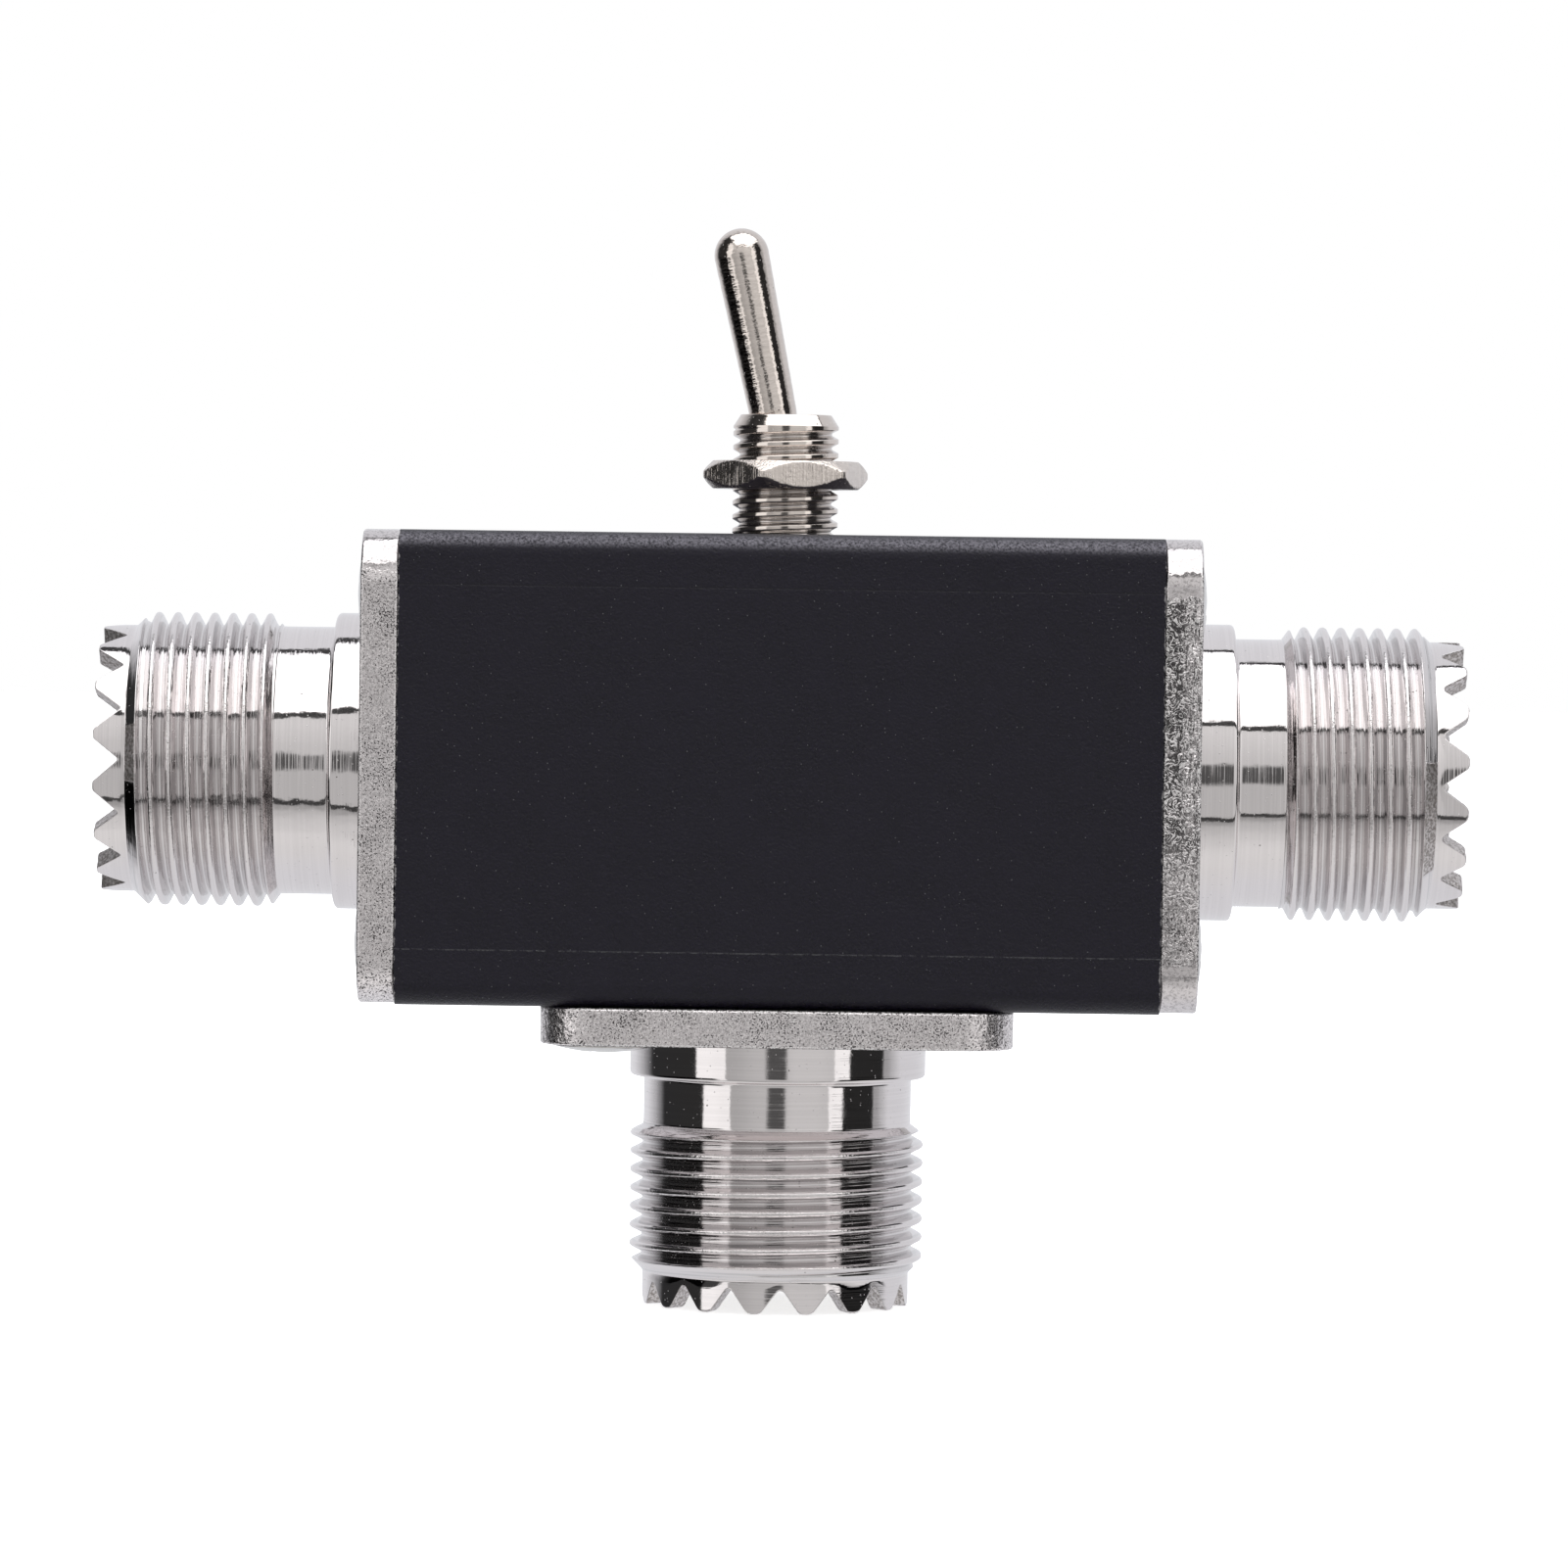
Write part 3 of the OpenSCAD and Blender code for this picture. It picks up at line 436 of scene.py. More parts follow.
def flange_surface(sizes):
    """Flange as quarter faces round its screw holes, and one rounded band round its outside.

    Each quarter face runs in rays from a screw hole to the quarter's border: two half lines of the
    square, the rounded outer corner and the arc of the middle hole. The band's outline is a
    square with rounded corners, grown by the cosine and lowered by the sine of a quarter turn.
    """
    side, t, corner, edge = FLANGE_SIDE / 2, FLANGE_T, 2.8, sizes.flange_edge / MM
    bore_r, bore_steps, hole_r, chamfer = 6.03, 20, 1.7, 0.12
    line = lambda p, q, n: p + (q - p) * np.linspace(0, 1, n, endpoint=False)[:, None]
    point = lambda x, y: np.array([x, y], float)
    quarters = [np.array([[math.cos(a), math.sin(a)], [-math.sin(a), math.cos(a)]])
                for a in np.arange(4) * math.pi / 2]

    def outer(grow):
        s, c, m = side - edge + grow, corner - edge + grow, side - corner
        return np.concatenate([line(point(s, 0), point(s, m), 24),
                               arc_points(m, m, c, 0, 90, 12)[:-1],
                               line(point(m, s), point(0, s), 24)])

    s = side - edge
    inner = arc_points(0, 0, bore_r, 90, 0, bore_steps)[:-1]
    border = np.concatenate([line(point(bore_r, 0), point(s, 0), 14), outer(0),
                             line(point(0, s), point(0, bore_r), 14), inner])
    middle = point(SCREW_AT, SCREW_AT)
    ray = border - middle
    ray = ray / np.hypot(*ray.T)[:, None]
    start = middle + ray * hole_r
    shares = np.array([0.06, 0.2, 0.45, 0.72, 1.0])[:, None, None]
    face = np.concatenate([[middle + ray * (hole_r + chamfer)], start + (border - start) * shares])
    wall_r = np.array([hole_r + chamfer, hole_r, hole_r, hole_r + chamfer])[:, None, None]
    wall_z = np.array([0, -chamfer, chamfer - t, -t])[:, None]
    quads = ring_faces(len(face), len(border))
    parts = []
    for quarter in quarters:
        wall = lifted((middle + ray * wall_r) @ quarter, wall_z)
        parts += [(lifted(face @ quarter, 0.0), quads[:, ::-1], 0.0),
                  (lifted(face @ quarter, -t), quads, 0.0),
                  (wall, ring_faces(*wall.shape[:2]), HOLE_WALL)]

    # Band: two rounded edges with the wall between them, which is a little uneven
    q = np.radians(np.linspace(0, 90, 6))
    walls = -t * np.array([0.25, 0.5, 0.75])
    grows = np.concatenate([edge * np.sin(q), [edge] * len(walls), edge * np.cos(q)])
    zs = np.concatenate([edge * (np.cos(q) - 1), walls, -t + edge * (1 - np.sin(q))])[:, None]
    band = np.stack([np.concatenate([outer(g) @ quarter for quarter in quarters]) for g in grows])
    uneven = 0.0011 * np.sin(band[..., 0] * 5.1 + band[..., 1] * 3.7) * np.sin(zs * 2.3)
    uneven = np.where(grows[:, None] >= edge, np.minimum(1 + uneven, 1.0), 1.0)
    band = lifted(band * uneven[..., None], zs)
    parts.append((band, ring_faces(*band.shape[:2])[:, ::-1], 0.0))
    turn = np.linspace(0, 2 * math.pi, 4 * bore_steps, endpoint=False)
    wall = turned(bore_r, np.array([[0], [-t]]), turn)
    parts.append((wall, ring_faces(*wall.shape[:2]), HOLE_WALL))
    return parts


def screw_surface(length):
    """Screw head as a height over its disc, with the rod below it.

    The dome is part of a sphere over a short straight edge. The recess is the deeper of two crossed
    slots whose sides and ends slope in, with a small cone at their crossing.
    """
    head_r, height, edge, rod_r = 2.8, 0.5, 0.1, 1.47
    recess, slot_l, slot_w, slot_r, slope_l, slope_w = 0.4, 1.35, 0.425, 1.6, 0.5, 0.13
    dome_r = (head_r**2 + (height - edge) ** 2) / 2 / (height - edge)
    turn = np.linspace(0, 2 * math.pi, 96, endpoint=False)
    close = np.linspace(0, 1.5, 34)
    over = np.concatenate([close, np.linspace(1.56, head_r - 0.03, 14)])
    dome = height - dome_r + np.sqrt(dome_r**2 - over**2)
    below = np.array([(head_r - 0.006, edge - 0.012), (head_r, edge - 0.04), (head_r, 0.02),
                      (head_r - 0.02, 0), (1.6, 0), (rod_r, -0.1), (rod_r, 0.27 - length),
                      (1.2, -length), (0, -length)])
    out = np.concatenate([over, below[:, 0]])
    z = np.concatenate([dome, below[:, 1]])
    r, z, turn = np.broadcast_arrays(out[:, None], z[:, None], turn)
    x, y = r * np.cos(turn), r * np.sin(turn)

    def slot(u, v):
        sides = np.clip((slot_w - np.abs(v)) / slope_w, 0, 1)
        return recess * np.clip((slot_l - np.abs(u)) / slope_l, 0, 1) * sides

    cut = np.maximum(slot(x, y), slot(y, x)) + 0.12 * np.clip(1 - np.hypot(x, y) / 0.4, 0, 1)
    z = z - np.where(np.arange(len(out))[:, None] < len(close), cut, 0)
    return np.stack([x, y, z], -1), r.shape, np.clip(cut * 2, 0, 1) * (r < slot_r)


def bushing_surface(sizes):
    """Bushing as one closed grid: outer thread with its run-out, top chamfer, the flared mouth,
    the ball's seat as part of a sphere, and the lower flare."""
    crest_r, pitch, depth = 2.85, sizes.bushing_pitch / MM, sizes.bushing_depth / MM
    top, low = BUSHING_TOP, BUSHING_LOW
    seat_r, throat_r, mouth_r, chamfer_z = 1.9, 1.42, 2.12, top - 0.72
    throat_z = math.sqrt(seat_r**2 - throat_r**2)
    turn = np.linspace(0, 2 * math.pi, 180, endpoint=False)
    outer = np.arange(low + 0.05, chamfer_z, 0.026)
    cap = rounded_path([(crest_r, chamfer_z), (crest_r, top - 0.62), (crest_r - 0.4, top),
                        (mouth_r, top), (throat_r, PIN_Z + throat_z)],
                       [0, 0.03, 0.06, 0.04, 0], hold=0.03)[1:]
    sphere = arc_points(0, PIN_Z, seat_r, math.degrees(math.asin(throat_z / seat_r)), 0, 8)[1:]
    foot = np.array([(seat_r, TUBE_TOP), (crest_r - 0.45, low), (crest_r - 0.02, low),
                     (crest_r, low + 0.02)])
    path = np.concatenate([np.stack([np.full(len(outer), crest_r), outer], -1), cap, sphere, foot])
    drop = thread_drop(path[:, 1:], turn, pitch, top - 4.4, depth, 0.16, 0.06, 0.1)
    drop = drop * np.clip((top - 0.74 - path[:, 1:]) / 0.12, 0, 1)
    cut = (np.arange(len(path)) < len(outer))[:, None]
    r = np.where(cut, np.minimum(path[:, :1], crest_r - drop), path[:, :1])
    hollow = np.where(cut, drop / depth, 0.0)
    hollow[len(outer) + len(cap) - 2:] = 1.0
    return turned(r, path[:, 1:], turn), r.shape, hollow


def nut_surface():
    """Hexagon nut as one closed grid round its axis.

    Outward, each row reaches the smaller of the hexagon, its half width over the cosine of the turn
    from the nearest flat, and the cone that chamfers both faces.
    """
    half_w, t, bore, slope, bore_edge = 4.0, NUT_TOP - NUT_LOW, 2.88, 0.93, 0.14
    corner = half_w / math.cos(math.pi / 6)
    bends = np.concatenate([np.linspace(0, 26, 14), [27.2, 28.2, 29, 29.5, 30]])
    one = np.radians(np.concatenate([-bends[-2:0:-1], bends]))
    turn = ((np.arange(6)[:, None] + 0.5) * math.pi / 3 + one).ravel()
    away = np.tile(one, 6)
    hexagon = np.minimum(half_w / np.cos(away), corner - 0.06)
    hexagon = hexagon - 0.02 * np.clip((np.abs(away) - math.radians(27.5)) / 0.05, 0, 1) ** 2
    cone = half_w - 0.07
    rise = np.array([0, 0.01, 0.03, 0.065, 0.1, 0.14, 0.2, 0.27, 0.34, 0.42, 0.5, 0.58, 0.64])
    side = np.concatenate([rise, [t / 2], t - rise[::-1]])
    chamfer = cone + np.minimum(side, t - side)[:, None] / slope
    reach_r = np.minimum(hexagon, chamfer)
    reach_r = reach_r - 0.012 * np.exp(-((chamfer - hexagon) / 0.03) ** 2)
    rim = np.minimum(hexagon, cone)
    rings = level_rows([bore + bore_edge, 3.2, 3.5], len(turn))
    faces_r = np.concatenate([np.minimum(rings, rim), rim * np.array([[0.97], [0.995]])])
    r = np.concatenate([level_rows([bore, bore], len(turn)), faces_r, reach_r, faces_r[::-1]])
    z = np.concatenate([[t - bore_edge, bore_edge], [0] * 5, side, [t] * 5])[:, None]
    return turned(r, NUT_LOW + z, turn), r.shape, np.zeros(r.shape)


def lever_surface():
    """Lever as a turned piece from the top of its round tip to the top of its hollow end."""
    tip_r, root_r, neck_r, ball_r, stem_r, bore_r = 1.475, 1.275, 1.05, 1.83, 1.1, 0.75
    tip_z, root_z, stem_z, bore_z, turns = 12.13, 3.3 / math.cos(LEAN), -5.2, -0.95, 128
    ball_top = math.degrees(math.acos(neck_r / ball_r))
    ball_low = -math.degrees(math.acos(stem_r / ball_r))
    path = np.concatenate([
        arc_points(0, tip_z, tip_r, 90, 0, 20),
        np.linspace((tip_r, tip_z), (root_r, root_z), 40)[1:],
        arc_points(0, 0, ball_r, ball_top, ball_low, 20),
        rounded_path([(stem_r, -2), (stem_r, stem_z), (bore_r, stem_z), (bore_r, bore_z),
                      (0, bore_z)], 0.04)])
    r, z = path[:, :1], path[:, 1:]
    turn = np.linspace(0, 2 * math.pi, turns, endpoint=False)
    wave = 1 + 0.0035 * np.sin(z * 7.3) * (z > root_z) * (z < 12)
    return turned(r * wave, z, turn), (len(path), turns), 0.0


def spring_surface(low, top, coil_r, wire_r, coils):
    """Round wire on a helix: ((R + w cos b) cos a, (R + w cos b) sin a, z + w sin b), where z grows
    with a and the wire's radius w falls to nothing on both end rows."""
    share = np.linspace(0, 1, coils * 30 + 1)
    share = np.concatenate([[0], share, [1]])[:, None]
    w = np.full(share.shape, wire_r)
    w[[0, -1]] = 0
    a, b = 2 * math.pi * coils * share, np.linspace(2 * math.pi, 0, 12, endpoint=False)[None, :]
    r = coil_r + w * np.cos(b)
    z = low + (top - low) * share + w * np.sin(b)
    return turned(r, z, a), z.shape


def leaning(p):
    """Own frame of the lever, about its pin, to the frame: leaned to the left."""
    return np.stack([p[..., 0] * math.cos(LEAN) - p[..., 2] * math.sin(LEAN), p[..., 1],
                     PIN_Z + p[..., 0] * math.sin(LEAN) + p[..., 2] * math.cos(LEAN)], -1)


def spun(p, a):
    """Points turned about Z by an angle."""
    return np.stack([p[..., 0] * math.cos(a) - p[..., 1] * math.sin(a),
                     p[..., 0] * math.sin(a) + p[..., 1] * math.cos(a), p[..., 2]], -1)


# ---- Node tools


def add(tree, kind, inputs=None, **settings):
    """Adds a node with its settings, and gives each input a value or another node's output."""
    node = tree.nodes.new(kind)
    for key, value in settings.items():
        setattr(node, key, value)
    for key, value in (inputs or {}).items():
        if isinstance(value, bpy.types.NodeSocket):
            tree.links.new(value, node.inputs[key])
        else:
            node.inputs[key].default_value = value
    return node


def calc(tree, operation, *values):
    """Output of a Math node."""
    return add(tree, "ShaderNodeMath", dict(enumerate(values)), operation=operation).outputs[0]


def ramp(tree, value, low, high, start=0.0, end=1.0, kind="SMOOTHSTEP"):
    """Output of a Map Range node from low..high to start..end."""
    node = add(tree, "ShaderNodeMapRange", {"Value": value, "From Min": low, "From Max": high,
                                            "To Min": start, "To Max": end})
    node.interpolation_type = kind
    return node.outputs[0]


def blend(tree, share, a, b):
    """Colour between a and b."""
    return add(tree, "ShaderNodeMix", {0: share, 6: a, 7: b}, data_type="RGBA").outputs[2]


def noise(tree, place, scale, detail=2.0, roughness=0.5, distortion=0.0):
    """Noise texture's value."""
    return add(tree, "ShaderNodeTexNoise", {
        "Vector": place, "Scale": scale, "Detail": detail, "Roughness": roughness,
        "Distortion": distortion}).outputs[0]


def stretch(tree, place, factors):
    """Coordinates times one factor per axis."""
    return add(tree, "ShaderNodeVectorMath", {0: place, 1: factors},
               operation="MULTIPLY").outputs[0]


def times(tree, *values):
    """Product of the values."""
    total = values[0]
    for value in values[1:]:
        total = calc(tree, "MULTIPLY", total, value)
    return total


def heap(tree, total, *parts):
    """A total with parts added to it, each (value, factor)."""
    for value, factor in parts:
        total = calc(tree, "MULTIPLY_ADD", value, factor, total)
    return total


def coats(tree, tone, *layers):
    """A tone under layers of colour, each (mask, share, colour)."""
    for mask, share, colour in layers:
        tone = blend(tree, times(tree, mask, share), tone, colour)
    return tone


def mix(tree, share, a, b):
    """Value between a and b."""
    return add(tree, "ShaderNodeMix", {0: share, 2: a, 3: b}).outputs[0]


def node_group(name, inputs, outputs, build):
    """A named shader group, made once: inputs are (name, socket kind, default)."""
    tree = bpy.data.node_groups.get(name)
    if tree is None:
        tree = bpy.data.node_groups.new(name, "ShaderNodeTree")
        for label, kind, default in inputs:
            socket = tree.interface.new_socket(label, in_out="INPUT", socket_type=kind)
            if default is not None:
                socket.default_value = default
        for label in outputs:
            tree.interface.new_socket(label, in_out="OUTPUT", socket_type="NodeSocketFloat")
        start = tree.nodes.new("NodeGroupInput")
        end = tree.nodes.new("NodeGroupOutput")
        for label, value in build(tree, start.outputs).items():
            tree.links.new(value, end.inputs[label])
    return tree


VECTOR, FLOAT = "NodeSocketVector", "NodeSocketFloat"


def turning_marks():
    """Marks left by the tool: noise drawn out along the cut, coarse and fine, and slow chatter."""

    def build(tree, given):
        drawn = stretch(tree, given["Place"], given["Marks"])
        fine = noise(tree, stretch(tree, drawn, (2.7, 2.7, 2.7)), 1.0, 1.0)
        coarse = noise(tree, drawn, 1.0, 1.0, 0.4)
        chatter = noise(tree, stretch(tree, given["Place"], (0.9, 0.9, 0.6)), 1.0)
        return {"Height": times(tree, heap(tree, coarse, (fine, 0.4)),
                                ramp(tree, chatter, 0.3, 0.7, 0.55, 1.2)),
                "Tone": coarse}

    return node_group("Turning marks", [("Place", VECTOR, None), ("Marks", VECTOR, (0.1, 0.1, 9))],
                      ["Height", "Tone"], build)


def pits_and_dust():
    """Scattered spots: a small disc in each cell of a Voronoi pattern, kept by a chance."""

    def build(tree, given):
        cells = add(tree, "ShaderNodeTexVoronoi", {"Vector": given["Place"],
                                                   "Scale": given["Scale"]})
        chance = add(tree, "ShaderNodeSeparateColor", {0: cells.outputs["Color"]})
        disc = ramp(tree, cells.outputs["Distance"], given["Size"],
                    times(tree, given["Size"], 0.6))
        spot = times(tree, disc, calc(tree, "LESS_THAN", chance.outputs[0], given["Amount"]))
        dust = times(tree, spot, calc(tree, "GREATER_THAN", chance.outputs[1], 0.55))
        return {"Pits": calc(tree, "SUBTRACT", spot, dust), "Dust": dust}

    return node_group("Pits and dust", [
        ("Place", VECTOR, None), ("Scale", FLOAT, 2.0), ("Size", FLOAT, 0.1),
        ("Amount", FLOAT, 0.1)], ["Pits", "Dust"], build)


def surface_grain():
    """Fine grain of a blasted, tumbled or moulded surface over a slow change of tone."""

    def build(tree, given):
        fine = noise(tree, given["Place"], given["Scale"], 3.0, 0.6, given["Twist"])
        wide = noise(tree, given["Place"], times(tree, given["Scale"], 0.07), 3.0)
        return {"Height": fine, "Tone": wide}

    return node_group("Surface grain", [("Place", VECTOR, None), ("Scale", FLOAT, 12.0),
                                        ("Twist", FLOAT, 0.0)], ["Height", "Tone"], build)


def swirl_lines():
    """Curled lines: twisted noise is folded into waves, so its level lines show as dark furrows."""

    def build(tree, given):
        field = noise(tree, given["Place"], given["Scale"], 1.0, 0.5, given["Twist"])
        wave = calc(tree, "SINE", times(tree, field, given["Turns"]))
        return {"Height": wave, "Lines": ramp(tree, wave, 0.45, -0.2)}

    return node_group("Swirl lines", [
        ("Place", VECTOR, None), ("Scale", FLOAT, 1.9), ("Twist", FLOAT, 1.2),
        ("Turns", FLOAT, 34.0)], ["Height", "Lines"], build)


def handling():
    """Faint smears: stretched noise kept only where a second noise is high."""

    def build(tree, given):
        smear = noise(tree, stretch(tree, given["Place"], (0.5, 1.4, 0.8)), 1.0, 5.0, 0.65, 0.6)
        where = noise(tree, given["Place"], 0.22, 1.0)
        return {"Smear": times(tree, ramp(tree, smear, 0.45, 0.75), ramp(tree, where, 0.4, 0.65))}

    return node_group("Handling", [("Place", VECTOR, None)], ["Smear"], build)


def use(tree, group, **inputs):
    """A group node with its inputs set; spaces in input names are written as underscores."""
    node = tree.nodes.new("ShaderNodeGroup")
    node.node_tree = group
    for key, value in inputs.items():
        socket = node.inputs[key.replace("_", " ")]
        if isinstance(value, bpy.types.NodeSocket):
            tree.links.new(value, socket)
        else:
            socket.default_value = value
    return node.outputs


def start_material(name, own_place):
    """New material: its tree and the place on the piece, in millimetres."""
    material = bpy.data.materials.new(name)
    material.use_nodes = True
    tree = material.node_tree
    tree.nodes.clear()
    if own_place:
        place = add(tree, "ShaderNodeAttribute", attribute_name="place").outputs["Vector"]
    else:
        coordinates = add(tree, "ShaderNodeTexCoord").outputs["Object"]
        place = add(tree, "ShaderNodeVectorMath", {0: coordinates, "Scale": 1000.0},
                    operation="SCALE").outputs[0]
    return material, tree, place


def end_material(tree, colour, roughness, height, depth, metallic=0.0, **plain):
    """Closes a material: bump of the given depth in millimetres and the shader's own values."""
    bump = add(tree, "ShaderNodeBump", {"Height": height, "Distance": depth * MM,
                                        "Strength": 1.0}).outputs[0]
    shader = add(tree, "ShaderNodeBsdfPrincipled", {
        "Base Color": colour, "Roughness": roughness, "Metallic": metallic, "Normal": bump})
    for key, value in plain.items():
        shader.inputs[key.replace("_", " ")].default_value = value
    add(tree, "ShaderNodeOutputMaterial", {"Surface": shader.outputs[0]})


def rgba(colour, factor=1.0):
    """Colour as four values, its brightness scaled."""
    return tuple(c * factor for c in colour[:3]) + (1.0,)


def turned_metal(name, colour, marks=(0.1, 0.1, 9.0), mark=0.0012, across=1.0, rough=0.05,
                 shade_and_dirt=0.15, jag=0.0, jag_marks=(1.6, 1.6, 8.0)):
    """Turned and plated metal: tool marks, pits, bright motes, smears, painted shade on the thread
    flanks in streaks along the tool marks, and painted shade in roots, recesses and bores.

    The mask "hollow" goes from 0 on a crest to 1 in a thread's root, a recess or a bore. It is
    above 1 on cuts that a tool has scuffed and below 0 on nicked crests. "across" scales the marks,
    and "jag" is the height of torn steps in them, drawn out by jag_marks.
    """
    material, tree, place = start_material(name, True)
    hollow = add(tree, "ShaderNodeAttribute", attribute_name="hollow").outputs["Fac"]
    lines = use(tree, turning_marks(), Place=place, Marks=marks)
    pits = use(tree, pits_and_dust(), Place=place, Scale=3.0, Size=0.16, Amount=0.05)["Pits"]
    motes = use(tree, pits_and_dust(), Place=place, Scale=5.5, Size=0.18, Amount=0.4)["Dust"]
    smear = use(tree, handling(), Place=place)["Smear"]
    dents = noise(tree, place, 5.0)
    nicks = noise(tree, place, 7.0, 2.0, 0.6)
    cut = ramp(tree, hollow, 1.05, 1.5)
    worn = ramp(tree, hollow, -0.15, -0.8)
    # Painted shade: thread roots, recesses and bores, and also scuffed cuts, darken by the given
    # share; the same mask roughens them as grime would
    shade_and_grime = times(tree, ramp(tree, hollow, 0.35, 1.0), shade_and_dirt)
    thread = times(tree, ramp(tree, hollow, 0.02, 0.2), ramp(tree, hollow, 1.1, 1.0))
    # Painted shade on the thread flanks, darker in streaks along the tool marks
    flank = times(tree, ramp(tree, hollow, 0.1, 0.3), ramp(tree, hollow, 0.97, 0.85))
    flank_shade = ramp(tree, lines["Tone"], 0.62, 0.38, 0.05, 0.38)
    scuff = blend(tree, ramp(tree, nicks, 0.35, 0.65), (0.22, 0.19, 0.17, 1), rgba(colour, 0.95))
    tone = blend(tree, ramp(tree, lines["Tone"], 0.3, 0.7), rgba(colour, 0.97), rgba(colour, 1.02))
    tone = coats(tree, tone, (shade_and_grime, 1.0, rgba(colour, 0.62)),
                 (flank, flank_shade, (0.34, 0.345, 0.35, 1)), (thread, 0.25, (0.72, 0.71, 0.715, 1)),
                 (cut, 0.8, scuff), (pits, 0.8, (0.12, 0.11, 0.1, 1)),
                 (motes, 0.6, (0.95, 0.94, 0.93, 1)))
    height = heap(tree, times(tree, lines["Height"], across), (dents, 0.8),
                  (times(tree, thread, lines["Tone"]), 9.0))
    if jag:
        height = heap(tree, height, (noise(tree, stretch(tree, place, jag_marks), 1.0), jag))
    rugged = times(tree, nicks, calc(tree, "MAXIMUM", cut, worn))
    height = heap(tree, height, (rugged, heap(tree, 14.0, (cut, 18.0))), (pits, -6.0),
                  (motes, 12.0))
    roughness = heap(tree, rough, (smear, 0.06), (shade_and_grime, 0.2), (cut, 0.34), (motes, 0.3))
    end_material(tree, tone, roughness, height, mark, metallic=1.0)
    return material


def tumbled_metal(name, colour, swirl=0.0, smooth=(-14.0, 14.0), grain_scale=6.5, dimple=0.0,
                  tones=(0.88, 1.16)):
    """Tumbled and plated sheet: a glossy skin with pebbled grain, specks in clusters, a painted
    highlight and a painted dark line along the ragged edges of its outer band and, by the share of
    swirl, curled furrows, blots and scratches.

    Past both places of smooth along the piece's X the skin is plain and mirrors its surroundings.
    Dimple is the height of soft dents near the ends.
    """
    material, tree, place = start_material(name, True)
    x, y, z = add(tree, "ShaderNodeSeparateXYZ", {0: place}).outputs
    out_x, out_y = calc(tree, "ABSOLUTE", x), calc(tree, "ABSOLUTE", y)
    along = heap(tree, x, (noise(tree, place, 3.0, 3.0, 0.7), 0.8))
    rugged = times(tree, ramp(tree, along, smooth[0] + 0.3, smooth[0] + 0.5),
                   ramp(tree, along, smooth[1] + 0.5, smooth[1] + 0.3))
    grain = use(tree, surface_grain(), Place=place, Scale=grain_scale, Twist=0.6)
    fine = noise(tree, place, 10.0, 1.0)
    dark = ramp(tree, heap(tree, fine, (noise(tree, place, 0.7), 0.35)), 0.585, 0.545)
    bright = ramp(tree, noise(tree, place, 8.0, 1.0, 0.5, 0.5), 0.62, 0.72)
    height = times(tree, grain["Height"], 1.3)
    ends = ramp(tree, out_x, 9.6, 10.4)
    if dimple:
        height = heap(tree, height, (noise(tree, place, 3.4, 1.0), times(tree, ends, dimple)))
    if swirl:
        curls = use(tree, swirl_lines(), Place=place)
        kept = times(tree, ramp(tree, noise(tree, place, 0.6), 0.72 - swirl, 0.86 - swirl),
                     ramp(tree, along, 6.0, 3.0, 0.5, 1.0))
        outer = times(tree, ramp(tree, z, -1.15, -0.9), ramp(tree, along, 4.0, 2.0))
        drawn = noise(tree, stretch(tree, place, (0.7, 2.0, 7.5)), 1.0, 2.0, 0.5, 0.4)
        scratch = times(tree, ramp(tree, drawn, 0.49, 0.42), outer)
        furrow = times(tree, curls["Lines"], calc(tree, "SUBTRACT", 1.0, outer))
        furrow = times(tree, heap(tree, furrow, (scratch, 0.8)),
                       ramp(tree, fine, 0.66, 0.56, 0.4, 1.0))
        blots = times(tree, ramp(tree, heap(tree, noise(tree, place, 1.7), (fine, 0.3)), 0.65, 0.6),
                      ramp(tree, z, -0.6, -1.1, 0.4, 1.0))
        furrow = times(tree, calc(tree, "MAXIMUM", furrow, blots), kept)
        glint = times(tree, kept, ramp(tree, curls["Height"], 0.75, 0.95))
        dark = calc(tree, "MAXIMUM", dark, furrow)
        bright = calc(tree, "MAXIMUM", bright, glint)
        height = heap(tree, height, (times(tree, curls["Height"], kept), 0.9))
    # Painted dark line along the very edges of the outer band, and a painted highlight band on the
    # rounded edges just inside it, both ragged by noise
    side = ramp(tree, calc(tree, "MAXIMUM", out_x, out_y), FLANGE_SIDE / 2 - 0.4,
                FLANGE_SIDE / 2 - 0.2)
    middle = calc(tree, "ABSOLUTE", calc(tree, "ADD", z, FLANGE_T / 2))
    border = times(tree, ramp(tree, heap(tree, middle, (fine, 0.22)), 1.04, 1.08), side)
    rim = times(tree, ramp(tree, middle, 0.84, 0.9), ramp(tree, fine, 0.5, 0.56), side)
    dark = calc(tree, "MAXIMUM", times(tree, dark, rugged), times(tree, border, 0.8))
    bright = calc(tree, "MAXIMUM", times(tree, bright, rugged), rim)
    mottle = blend(tree, ramp(tree, grain["Height"], 0.34, 0.62), rgba(colour, tones[0]),
                   rgba(colour, tones[1]))
    mirror = blend(tree, ramp(tree, grain["Height"], 0.34, 0.55), rgba(colour, 0.58),
                   rgba(colour, 0.92))
    tone = coats(tree, blend(tree, rugged, mirror, mottle), (dark, 0.93, (0.04, 0.037, 0.038, 1)),
                 (bright, 0.85, (0.97, 0.95, 0.94, 1)))
    height = times(tree, heap(tree, height, (dark, -1.0)), rugged)
    height = heap(tree, height, (noise(tree, place, 1.6), 2.0))
    plain = times(tree, calc(tree, "SUBTRACT", 1.0, rugged), calc(tree, "SUBTRACT", 1.0, ends))
    roughness = heap(tree, ramp(tree, grain["Tone"], 0.3, 0.7, 0.11, 0.18), (dark, 0.25),
                     (bright, 0.25), (plain, 0.3))
    end_material(tree, tone, roughness, height, 0.02, metallic=1.0)
    return material


